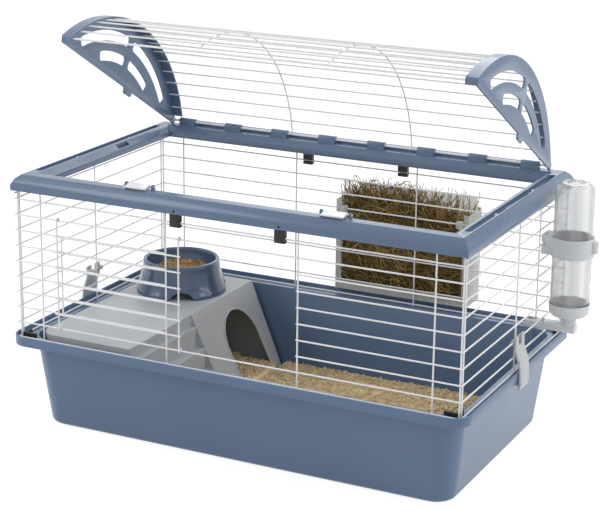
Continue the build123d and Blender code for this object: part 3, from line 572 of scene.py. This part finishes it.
def seen_directly(nodes, links):
    """Output that is 1 for rays from the camera, a reflection or a clear wall, and 0 for others."""
    rays = nodes.new("ShaderNodeLightPath")
    output = rays.outputs["Is Camera Ray"]
    for label in ("Is Glossy Ray", "Is Transmission Ray"):
        either = nodes.new("ShaderNodeMath")
        either.operation = "MAXIMUM"
        links.new(output, either.inputs[0])
        links.new(rays.outputs[label], either.inputs[1])
        output = either.outputs[0]
    return output


class CAGE_OT_stage(Operator):
    """Make the camera, the pale floor and the soft studio light"""
    bl_idname = "cage.stage"
    bl_label = "Stage"

    def execute(self, context):
        lens_mm, sensor_mm, shift = 108.747, 36, (-0.00092, -0.00263)
        stand, turn, tilt, roll = (1.23553, -2.48119, 1.11733), 26.2874, 16.7598, 0.6972
        camera = bpy.data.objects.new("camera", bpy.data.cameras.new("camera"))
        context.scene.collection.objects.link(camera)
        context.scene.camera = camera
        camera.data.lens = lens_mm
        camera.data.sensor_width = sensor_mm
        camera.data.shift_x, camera.data.shift_y = shift
        camera.data.clip_start, camera.data.clip_end = 0.05, 200
        camera.matrix_world = (
            Matrix.Translation(stand)
            @ Matrix.Rotation(math.radians(turn), 4, "Z")
            @ Matrix.Rotation(math.radians(90 - tilt), 4, "X")
            @ Matrix.Rotation(math.radians(roll), 4, "Z")
        )
        self.lamps(context)
        self.floor()
        self.world(context)
        context.scene.view_settings.view_transform = "Standard"
        return {"FINISHED"}

    def lamps(self, context):
        """Three large soft lamps above the cage: front left, right and behind."""
        aim = Vector((0, 0, 0.25))
        for name, spot, power, size in (
            ("key", (-2.2, -1.6, 2.2), 40, 2.0),
            ("side", (2.6, 0.5, 1.9), 36, 1.8),
            ("back", (-0.6, 2.4, 2.2), 26, 2.0),
        ):
            lamp = bpy.data.lights.new(name, "AREA")
            lamp.energy = power
            lamp.size = size
            holder = bpy.data.objects.new(name, lamp)
            context.scene.collection.objects.link(holder)
            holder.location = spot
            holder.rotation_euler = (aim - Vector(spot)).to_track_quat("-Z", "Y").to_euler()

    def floor(self):
        """Pale floor that keeps the cage's shadow and reads as white where it is seen."""
        half, paint_shade, shadow_shade, glow_strength = 40.0, 0.9, 0.34, 0.82
        corners = [(-half, -half, 0), (half, -half, 0), (half, half, 0), (-half, half, 0)]
        floor = mesh_piece("floor", corners, [(0, 1, 2, 3)])
        material = bpy.data.materials.new("Studio floor")
        material.use_nodes = True
        nodes, links = material.node_tree.nodes, material.node_tree.links
        paint = nodes["Principled BSDF"]
        paint.inputs["Base Color"].default_value = (paint_shade, paint_shade, paint_shade, 1)
        paint.inputs["Roughness"].default_value = 0.9
        glow = nodes.new("ShaderNodeEmission")
        glow.inputs["Color"].default_value = (1, 1, 1, 1)
        glow.inputs["Strength"].default_value = glow_strength
        veil = nodes.new("ShaderNodeBsdfDiffuse")
        veil.inputs["Color"].default_value = (shadow_shade, shadow_shade, shadow_shade, 1)
        seen = nodes.new("ShaderNodeAddShader")
        choose = nodes.new("ShaderNodeMixShader")
        links.new(veil.outputs[0], seen.inputs[0])
        links.new(glow.outputs[0], seen.inputs[1])
        links.new(seen_directly(nodes, links), choose.inputs[0])
        links.new(paint.outputs[0], choose.inputs[1])
        links.new(seen.outputs[0], choose.inputs[2])
        links.new(choose.outputs[0], nodes["Material Output"].inputs["Surface"])
        floor.data.materials.append(material)

    def world(self, context):
        """White surroundings: full white where they are seen, softer where they light the cage."""
        light_level, seen_level = 0.55, 1.0
        world = bpy.data.worlds.new("Studio")
        context.scene.world = world
        world.use_nodes = True
        nodes, links = world.node_tree.nodes, world.node_tree.links
        level = nodes.new("ShaderNodeMapRange")
        level.inputs["To Min"].default_value = light_level
        level.inputs["To Max"].default_value = seen_level
        links.new(seen_directly(nodes, links), level.inputs["Value"])
        sky = nodes["Background"]
        sky.inputs["Color"].default_value = (1, 1, 1, 1)
        links.new(level.outputs[0], sky.inputs["Strength"])


class CAGE_OT_walls(Operator):
    """Make the wire walls of round, coated wire"""
    bl_idname = "cage.walls"
    bl_label = "Wire walls"

    def execute(self, context):
        wire = context.scene.cage_wire
        row_gap, end_inset, corner_inset = 0.0002, 0.0035, 0.0456
        doorway_left, doorway_right = -0.1075, 0.116
        back_left, back_right = -0.1143, 0.1095
        top_side_row = 0.3885
        rows = row_heights()
        posts = (wire.foot, wire.top)
        half_wire = wire.diameter / 2
        edge = wire.half_length - half_wire - row_gap
        end, corner = wire.half_length - end_inset, wire.half_length - corner_inset
        doorway = (doorway_left + half_wire, doorway_right - half_wire)
        front = turned(0, -wire.half_width, 0)
        back = turned(0, wire.half_width, 180)
        back_posts = [-end, -corner, back_left, back_right, corner, end]
        side_end = wire.half_width - end_inset - 2 * wire.diameter + wire.weld
        side_half = wire.half_width + half_wire
        side = (rows + [top_side_row], (-side_half, side_half), [-side_end, 0, side_end], posts)
        parts = {
            "front_panel_left": wall_wires(
                rows, (-edge, doorway[0]), [-end, -corner, doorway_left], posts, front
            ),
            "front_panel_right": wall_wires(
                rows, (doorway[1], edge), [doorway_right, corner, end], posts, front
            ),
            "front_panel_header": wall_wires(rows[HEADER_ROW:], doorway, [], posts, front),
            "front_panel_sill": wall_wires(rows[:SILL_ROW + 1], doorway, [], posts, front),
            "back_panel": wall_wires(rows, (-edge, edge), back_posts, posts, back),
            "right_panel": wall_wires(*side, turned(wire.half_length, 0, 90)),
            "left_panel": wall_wires(*side, turned(-wire.half_length, 0, -90)),
        }
        group = wire_tree()
        for node, lines in parts.items():
            piece = round_wires(node + "_wires", lines, group, wire.diameter, wire.sides, "wire")
            place(piece, "base", "white_wire", node)
        return {"FINISHED"}


class CAGE_OT_door(Operator):
    """Make the sliding front door of round wire, with its hooked posts"""
    bl_idname = "cage.door"
    bl_label = "Front door"

    def execute(self, context):
        wire = context.scene.cage_wire
        running_gap, hook_end, stiffener_inset, row_overhang = 0.0005, 0.004, 0.008, 0.003
        hook_turns = np.linspace(0, math.pi, 13)
        rows = row_heights()
        low, high, door_rows = rows[SILL_ROW], rows[HEADER_ROW], rows[SILL_ROW + 1:HEADER_ROW]
        reach = wire.diameter + running_gap
        wall_y = -wire.half_width
        post_y = wall_y - reach
        row_y = post_y - wire.diameter + wire.weld
        door_right = wire.door_left + wire.door_width
        first, last = wire.door_left + wire.diameter / 2, door_right - wire.diameter / 2
        lines = []
        for x in (first, last):
            top = [(x, wall_y + reach * math.cos(t), high + reach * math.sin(t)) for t in hook_turns]
            foot = [(x, wall_y - reach * math.cos(t), low - reach * math.sin(t)) for t in hook_turns]
            top_end, foot_end = (x, wall_y + reach, high - hook_end), (x, wall_y + reach, low + hook_end)
            lines.append([top_end] + top + foot + [foot_end])
        stiffener = first + stiffener_inset
        lines.append([(stiffener, post_y, door_rows[0]), (stiffener, post_y, door_rows[-1])])
        for z in door_rows:
            lines.append([(wire.door_left - row_overhang, row_y, z), (door_right + row_overhang, row_y, z)])
        piece = round_wires("front_door_wires", lines, wire_tree(), wire.diameter, wire.sides, "wire")
        place(piece, "front_door", "white_wire", "front_door")
        return {"FINISHED"}


class CAGE_OT_lid(Operator):
    """Make the lid's long wires, bows, front wire and hinge rod"""
    bl_idname = "cage.lid"
    bl_label = "Lid wires"

    def execute(self, context):
        wire, lid = context.scene.cage_wire, context.scene.cage_lid
        bow_points = 40
        run_length = dome_run()
        layer = wire.diameter - wire.weld
        end = run_length - lid.front_setback
        group = wire_tree()

        def across(u, v):
            return [on_lid(-lid.plate_x, u, v), on_lid(lid.plate_x, u, v)]

        def bow(x):
            return [on_lid(x, *dome_point(d, layer)) for d in np.linspace(0, end, bow_points)]

        spots = [k * run_length / lid.intervals for k in range(1, lid.intervals)]
        long_wires = [across(*dome_point(spot)) for spot in spots]
        front = across(*dome_point(end, wire.front_diameter / 2 - wire.weld))
        for name, node, lines, diameter in (
            ("lid_long_wires_round", "lid_long_wires", long_wires, wire.diameter),
            ("lid_front_wire_round", "lid_front_wire", [front], wire.front_diameter),
            ("lid_hinge_rod_round", "lid_hinge_rod", [across(0, 0)], wire.rod_diameter),
            ("lid_bow_left_round", "lid_bow_left", [bow(-lid.bow_x)], wire.diameter),
            ("lid_bow_right_round", "lid_bow_right", [bow(lid.bow_x)], wire.diameter),
        ):
            piece = round_wires(name, lines, group, diameter, wire.sides, "wire")
            place(piece, "lid", "white_wire", node)
        return {"FINISHED"}


class CAGE_OT_mouldings(Operator):
    """Round over the edges of every plastic moulding and give each its plastic"""
    bl_idname = "cage.mouldings"
    bl_label = "Mouldings"

    def execute(self, context):
        rails = ["rail_front", "rail_back", "rail_left", "rail_right"]
        black_parts = [n for n in frame["nodes"] if n.startswith(("panel_clip", "corner_clip"))]
        # Coat: nodes, rounding in millimetres, segments of the rounding, material slot
        plan = {
            "tub": (["tub"], 0.9, 3, "slate_plastic"),
            "frame": (rails + ["lid_plate_left", "lid_plate_right"], 0.9, 3, "frame_plastic"),
            "black": (black_parts, 0.6, 2, "black_plastic"),
            "lever": (["tub_clip_left", "tub_clip_right"], 0.5, 2, "lever_grey"),
            "latch": (["lid_latch_left", "lid_latch_right"], 0.4, 2, "latch_white"),
            "house": (["house"], 1.4, 3, "house_plastic"),
            "bowl": (["bowl"], 0.7, 3, "bowl_plastic"),
            "rack": (["hay_rack"], 0.6, 2, "smoke_plastic"),
            "bottle": (["bottle"], 0.3, 2, "bottle_clear"),
            "ring": (["bottle_cap", "bottle_ring"], 0.6, 2, "cap_grey"),
        }
        for coat, (nodes, radius_mm, segments, slot) in plan.items():
            for node in nodes:
                piece = eased(node, radius_mm, segments)
                piece.data.materials.append(COATS[coat])
                place(piece, frame["nodes"][node]["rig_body"], slot, node)
        return {"FINISHED"}


def lump(x, y, scale, seed):
    """Smooth random value at a plan point, between about -1 and 1."""
    return noise.noise(Vector((x * scale, y * scale, seed)))


def lumpy_slab(name, inside, low_z, height, cell):
    """Closed slab over a Plan, in cells of a given size, with a height for each plan point."""
    merge_distance = 0.0003
    (left, right), (near, far) = inside.extent
    columns, rows = int((right - left) / cell) + 1, int((far - near) / cell) + 1
    vertices = []
    for j in range(rows + 1):
        for i in range(columns + 1):
            x, y = inside(left + (right - left) * i / columns, near + (far - near) * j / rows)
            vertices.append((x, y, height(x, y)))
    width = columns + 1
    faces = [
        (j * width + i, j * width + i + 1, (j + 1) * width + i + 1, (j + 1) * width + i)
        for j in range(rows) for i in range(columns)
    ]
    piece = mesh_piece(name, vertices, faces)
    work = bmesh.new()
    work.from_mesh(piece.data)
    bmesh.ops.remove_doubles(work, verts=work.verts, dist=merge_distance)
    under = bmesh.ops.extrude_face_region(work, geom=list(work.faces), use_keep_orig=True)
    for vertex in (g for g in under["geom"] if isinstance(g, bmesh.types.BMVert)):
        vertex.co.z = low_z
    bmesh.ops.recalc_face_normals(work, faces=work.faces)
    work.to_mesh(piece.data)
    work.free()
    piece.data.shade_smooth()
    return piece


class Plan:
    """Rounded rectangle that plan points are moved into."""

    def __init__(self, x_span, y_span, radius, rounded_left=True):
        self.extent = (x_span, y_span)
        self.radius = radius
        self.rounded_left = rounded_left

    def __call__(self, x, y):
        (left, right), (near, far) = self.extent
        centre_x = min(max(x, left + (self.radius if self.rounded_left else 0)), right - self.radius)
        centre_y = min(max(y, near + self.radius), far - self.radius)
        away = Vector((x - centre_x, y - centre_y))
        if away.length > self.radius:
            away *= self.radius / away.length
        return centre_x + away.x, centre_y + away.y


def flake_shape(name, run_m, width_m, curl):
    """One thin curled shaving, a closed bent strip that is thickest along its middle."""
    steps, lifted_edge, ridge = 3, width_m * 0.1, width_m * 0.2
    vertices, faces = [], []
    for k in range(steps + 1):
        angle = curl * (k / steps - 0.5)
        x = run_m * (math.sin(angle) / curl)
        z = run_m * (1 - math.cos(angle)) / curl
        wide = width_m * (0.7 + 0.3 * math.sin(math.pi * k / steps))
        vertices += [(x, -wide / 2, z), (x, wide / 2, z + lifted_edge), (x, 0, z + ridge)]
    for start in range(0, 3 * steps, 3):
        for one, other in ((0, 1), (1, 2), (2, 0)):
            faces.append((start + one, start + other, start + 3 + other, start + 3 + one))
    faces += [(0, 2, 1), (3 * steps, 3 * steps + 1, 3 * steps + 2)]
    return mesh_piece(name, vertices, faces)


def scattered(name, shape, spots, turns, sizes, tones, coat):
    """Copies of a shape at the given spots, made by the scatter tree."""
    piece = mesh_piece(name, spots)
    for label, values in (("turn", turns), ("size", sizes)):
        attribute = piece.data.attributes.new(label, "FLOAT_VECTOR", "POINT")
        attribute.data.foreach_set("vector", np.array(values, np.float32).ravel())
    give_tones(piece, tones)
    made = run(piece, scatter_tree(name + " tree"), {"Shape": shape, "Material": COATS[coat]})
    bpy.data.objects.remove(shape)
    return made


class CAGE_OT_bedding(Operator):
    """Make the wood shavings on the tub's floor and in the house"""
    bl_idname = "cage.bedding"
    bl_label = "Bedding"

    def execute(self, context):
        fill = context.scene.cage_fill
        end_gap, side_gap, floor_corner, floor_room = 0.0005, 0.001, 0.032, 0.0035
        low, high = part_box("bedding_floor")
        x_span, y_span = (low.x + end_gap, high.x - end_gap), (low.y + side_gap, high.y - side_gap)
        floor = Plan(x_span, y_span, floor_corner, rounded_left=False)
        self.bed("bedding_floor", floor, low.z, high.z - floor_room, fill.flakes, fill.seed)
        den_corner, doorway_corner, den_room = 0.012, 0.004, 0.003
        doorway_left, doorway_y = -0.190, (0.0575, 0.1565)
        low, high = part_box("bedding_den")
        den = Plan((low.x, ROOF_EDGE_X), (low.y, high.y), den_corner)
        doorway = Plan((doorway_left, high.x), doorway_y, doorway_corner)
        self.bed("bedding_den", den, low.z, high.z - den_room, fill.flakes // 5, fill.seed + 1)
        self.bed("doorway", doorway, low.z, high.z - den_room, fill.flakes // 8, fill.seed + 2)
        return {"FINISHED"}

    def bed(self, node, plan, floor_z, top_z, count, seed):
        """Uneven slab with curled flakes strewn over it."""
        swell, swell_scale, crumb, crumb_scale = 0.0022, 9, 0.0012, 55
        margin, sunk, raised, tilt = 0.006, -0.0005, 0.0016, 0.35
        flake_run, flake_width, flake_curl = 0.009, 0.0034, 1.4

        def height(x, y):
            """Height of the bedding at a plan point."""
            return (
                top_z + swell * lump(x, y, swell_scale, seed)
                + crumb * lump(x, y, crumb_scale, seed + 3)
            )

        slab = lumpy_slab(node + "_bed", plan, floor_z, height, cell=0.006)
        slab.data.materials.append(COATS["shavings"])
        # The slab takes a lower tone than the flakes on it, so the gaps between flakes come out darker:
        # painted shade between the flakes, on top of the noise's random tone.
        give_tones(slab, [0.25 + 0.3 * noise.noise(v.co * 60) for v in slab.data.vertices])
        place(slab, "base", "shavings", *([node] if node in frame["nodes"] else []))
        chance = random.Random(seed)
        (left, right), (near, far) = plan.extent
        spots, turns, sizes, tones = [], [], [], []
        for _ in range(count):
            x, y = plan(chance.uniform(left, right), chance.uniform(near, far))
            x = min(max(x, left + margin), right - margin)
            y = min(max(y, near + margin), far - margin)
            spots.append((x, y, height(x, y) + chance.uniform(sunk, raised)))
            turns.append((chance.gauss(0, tilt), chance.gauss(0, tilt), chance.uniform(0, 2 * math.pi)))
            scale = chance.uniform(0.5, 1.25)
            sizes.append((scale, chance.uniform(0.5, 1.2) * scale, scale))
            tones.append(min(1, max(0, chance.gauss(0.7, 0.22))))
        flake = flake_shape("flake", flake_run, flake_width, flake_curl)
        flakes = scattered(node + "_flakes", flake, spots, turns, sizes, tones, "shavings")
        place(flakes, "base", "shavings")


class CAGE_OT_hay(Operator):
    """Make the loose hay that fills and tops the rack"""
    bl_idname = "cage.hay"
    bl_label = "Hay"

    def execute(self, context):
        fill = context.scene.cage_fill
        low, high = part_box("hay")
        chance = random.Random(fill.seed + 11)
        floor_z = low.z + 0.002
        span_x, span_y = high.x - low.x, high.y - low.y

        def crest(x):
            """Height of the heap along the rack, fullest left of the middle."""
            edge_z, loose_room, fall = 0.290, 0.024, 0.55
            share = (x - low.x) / span_x
            swell = math.sin(math.pi * min(1, max(0, share * 0.9 + 0.12))) ** 0.7
            return edge_z + (high.z - loose_room - edge_z) * swell * (1 - fall * share)

        def kept_in(point):
            """Nearest point inside the rack's walls."""
            wall_gap, front_gap, top_gap = 0.0012, 0.0008, 0.004
            return Vector((
                min(max(point.x, low.x + wall_gap), high.x - wall_gap),
                min(max(point.y, low.y + front_gap), high.y - wall_gap),
                min(max(point.z, floor_z), high.z - top_gap),
            ))

        def strand(point):
            """Points of one bent strand from its start."""
            steps, flattening = 6, 0.45
            heading, climb = chance.uniform(0, 2 * math.pi), chance.gauss(0.05, 0.6)
            bend, twist = chance.gauss(0, 14), chance.gauss(0, 10)
            reach = chance.uniform(0.025, 0.07)
            points = []
            for _ in range(steps + 1):
                points.append(kept_in(point))
                way = Vector((
                    math.cos(heading) * math.cos(climb),
                    math.sin(heading) * math.cos(climb) * flattening,
                    math.sin(climb),
                ))
                point = point + way * reach / steps
                heading += bend * reach / steps
                climb += twist * reach / steps
            return points

        end_gap, side_gap, top_layer = 0.006, 0.004, 0.022
        face_gap, face_layer, face_foot, face_room = 0.003, 0.006, 0.004, 0.010
        lines, tones = [], []
        for number in range(fill.strands):
            x = low.x + end_gap + (span_x - 2 * end_gap) * chance.random()
            top = crest(x)
            # Every other strand lies against the front, where the rack is seen through
            if number % 2:
                y = low.y + face_gap + face_layer * chance.random()
                z = floor_z + face_foot + (top - floor_z - face_room) * chance.random()
            else:
                y = low.y + side_gap + (span_y - 2 * side_gap) * chance.random()
                z = top - top_layer * chance.random()
            lines.append(strand(Vector((x, y, z))))
            tones.append(min(1, max(0, chance.gauss(0.42, 0.28))))
        strands = round_wires(
            "hay_strands", lines, wire_tree(), diameter=0.0012, sides=3, coat="hay", tones=tones
        )
        place(strands, "hay_rack", "hay_straw")

        core_depth, core_lumps, core_scale = 0.014, 0.005, 40
        core_end, core_side, core_corner = 0.004, 0.005, 0.008
        x_span, y_span = (low.x + core_end, high.x - core_end), (low.y + core_side, high.y - core_side)
        plan = Plan(x_span, y_span, core_corner)
        core = lumpy_slab(
            "hay_core", plan, floor_z,
            lambda x, y: crest(x) - core_depth + core_lumps * lump(x, y, core_scale, 2), cell=0.006
        )
        give_tones(core, [0.12 + 0.3 * abs(noise.noise(v.co * 120)) for v in core.data.vertices])
        core.data.materials.append(COATS["hay"])
        place(core, "hay_rack", "hay_straw", "hay")
        return {"FINISHED"}


class CAGE_OT_feed(Operator):
    """Make the mixed feed in the bowl"""
    bl_idname = "cage.feed"
    bl_label = "Feed"

    def execute(self, context):
        fill = context.scene.cage_fill
        low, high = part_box("kibble")
        centre = (low + high) / 2
        radius = (high.x - low.x) / 2
        chance = random.Random(fill.seed + 23)
        wall_gap, foot_gap, bed_sink, edge_gap, grain_radius = 0.001, 0.002, 0.001, 0.004, 0.0030

        def heap(x, y):
            """Height of the feed, a little lower towards the bowl's wall."""
            top_room, fall = 0.0045, 0.003
            away = math.hypot(x - centre.x, y - centre.y) / radius
            return high.z - top_room - fall * away ** 2

        plan = Plan(
            (centre.x - radius + wall_gap, centre.x + radius - wall_gap),
            (centre.y - radius + wall_gap, centre.y + radius - wall_gap), radius - wall_gap
        )
        bed = lumpy_slab(
            "feed_bed", plan, low.z + foot_gap, lambda x, y: heap(x, y) - bed_sink, cell=0.004
        )
        give_tones(bed, [0.2 + 0.3 * abs(noise.noise(v.co * 300)) for v in bed.data.vertices])
        bed.data.materials.append(COATS["feed"])
        place(bed, "bowl", "feed", "kibble")
        grain = mesh_piece("grain", [])
        work = bmesh.new()
        bmesh.ops.create_icosphere(work, subdivisions=1, radius=grain_radius)
        work.to_mesh(grain.data)
        work.free()
        spots, turns, sizes, tones = [], [], [], []
        for _ in range(fill.pellets):
            angle = chance.uniform(0, 2 * math.pi)
            away = (radius - edge_gap) * math.sqrt(chance.random())
            x, y = centre.x + away * math.cos(angle), centre.y + away * math.sin(angle)
            spots.append((x, y, heap(x, y) + chance.uniform(-0.0005, 0.0015)))
            turns.append([chance.uniform(0, 2 * math.pi) for _ in range(3)])
            sizes.append((chance.uniform(0.9, 1.9), chance.uniform(0.7, 1.1), chance.uniform(0.5, 0.9)))
            tones.append(chance.random())
        grains = scattered("feed_grains", grain, spots, turns, sizes, tones, "feed")
        place(grains, "bowl", "feed")
        return {"FINISHED"}


def buttons(name, spots, normal, radius, height, body, coat, slot):
    """Small domed buttons standing on a surface whose normal is given."""
    sides = 16
    rings = ((1.0, 0.0), (1.0, 0.45), (0.86, 0.75), (0.55, 0.94))  # shares of radius and height
    work = bmesh.new()
    turn = Vector((0, 0, 1)).rotation_difference(Vector(normal)).to_matrix().to_4x4()
    angles = [2 * math.pi * k / sides for k in range(sides)]
    for spot in spots:
        stand = Matrix.Translation(spot) @ turn
        loops = []
        for share, rise in rings:
            r, z = radius * share, height * rise
            loops.append([
                work.verts.new(stand @ Vector((r * math.cos(a), r * math.sin(a), z))) for a in angles
            ])
        for lower, upper in zip(loops, loops[1:]):
            for k in range(sides):
                following = (k + 1) % sides
                work.faces.new((lower[k], lower[following], upper[following], upper[k]))
        work.faces.new(loops[-1])
        work.faces.new(loops[0][::-1])
    piece = mesh_piece(name, [])
    work.to_mesh(piece.data)
    work.free()
    piece.data.shade_smooth()
    piece.data.materials.append(COATS[coat])
    return place(piece, body, slot)


class CAGE_OT_trim(Operator):
    """Make the den's rolled door edge, the pins in the side rails and the pegs above the front clips"""
    bl_idname = "cage.trim"
    bl_label = "Small trim"

    def execute(self, context):
        low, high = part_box("house")
        arch_y, arch_half, spring_z, proud = 0.107, 0.053, 0.078, 0.0002
        foot_z, bead_diameter = low.z + 0.002, 0.0032

        def on_slope(y, z):
            """Point on the den's sloping front."""
            share = (high.z - z) / (high.z - low.z)
            return (ROOF_EDGE_X + (high.x - ROOF_EDGE_X) * share + proud, y, z)

        outline = [on_slope(arch_y - arch_half, z) for z in np.linspace(foot_z, spring_z, 8)]
        outline += [
            on_slope(arch_y - arch_half * math.cos(t), spring_z + arch_half * math.sin(t))
            for t in np.linspace(0, math.pi, 33)[1:-1]
        ]
        outline += [on_slope(arch_y + arch_half, z) for z in np.linspace(spring_z, foot_z, 8)]
        bead = round_wires("den_door_edge", [outline], wire_tree(), bead_diameter, 12, "house")
        place(bead, "house", "house_plastic")

        channel_x, channel_z, pin_ys = 0.3619, 0.413, (0.089, -0.070)
        pin_radius, pin_height = 0.0032, 0.0028
        pins = [(side * channel_x, y, channel_z) for side in (-1, 1) for y in pin_ys]
        buttons("rail_pins", pins, (0, 0, 1), pin_radius, pin_height, "base", "latch", "latch_white")

        peg_x, rail_face_y, peg_z = 0.088, -0.2312, 0.3985
        peg_radius, peg_height = 0.0019, 0.0011
        pegs = [(x, rail_face_y, peg_z) for x in (-peg_x, peg_x)]
        buttons("clip_pegs", pegs, (0, -1, 0), peg_radius, peg_height, "base", "black", "black_plastic")
        return {"FINISHED"}


class CAGE_PT_looks(Panel):
    """Sidebar panel that lists the settings and the steps"""
    bl_idname = "CAGE_PT_looks"
    bl_label = "Rodent cage"
    bl_space_type = "VIEW_3D"
    bl_region_type = "UI"
    bl_category = "Cage"

    def draw(self, context):
        for label, group in (
            ("Wire", context.scene.cage_wire), ("Lid", context.scene.cage_lid),
            ("Colours", context.scene.cage_finish), ("Filling", context.scene.cage_fill),
        ):
            box = self.layout.box()
            box.label(text=label)
            for name in type(group).__annotations__:
                box.prop(group, name)
        for step in STEPS:
            self.layout.operator(step.bl_idname)


GROUPS = {"cage_wire": CageWire, "cage_lid": CageLid, "cage_finish": CageFinish, "cage_fill": CageFill}
STEPS = (
    CAGE_OT_stage, CAGE_OT_walls, CAGE_OT_door, CAGE_OT_lid, CAGE_OT_mouldings, CAGE_OT_bedding,
    CAGE_OT_hay, CAGE_OT_feed, CAGE_OT_trim,
)


def register():
    for item in (*GROUPS.values(), *STEPS, CAGE_PT_looks):
        bpy.utils.register_class(item)
    for name, item in GROUPS.items():
        setattr(bpy.types.Scene, name, PointerProperty(type=item))


def unregister():
    for name in GROUPS:
        delattr(bpy.types.Scene, name)
    for item in reversed((*GROUPS.values(), *STEPS, CAGE_PT_looks)):
        bpy.utils.unregister_class(item)


def main():
    """Run every step in order."""
    register()
    COATS.update(all_materials(bpy.context.scene.cage_finish))
    for step in STEPS:
        area, name = step.bl_idname.split(".")
        getattr(getattr(bpy.ops, area), name)()


if __name__ == "__main__":
    main()
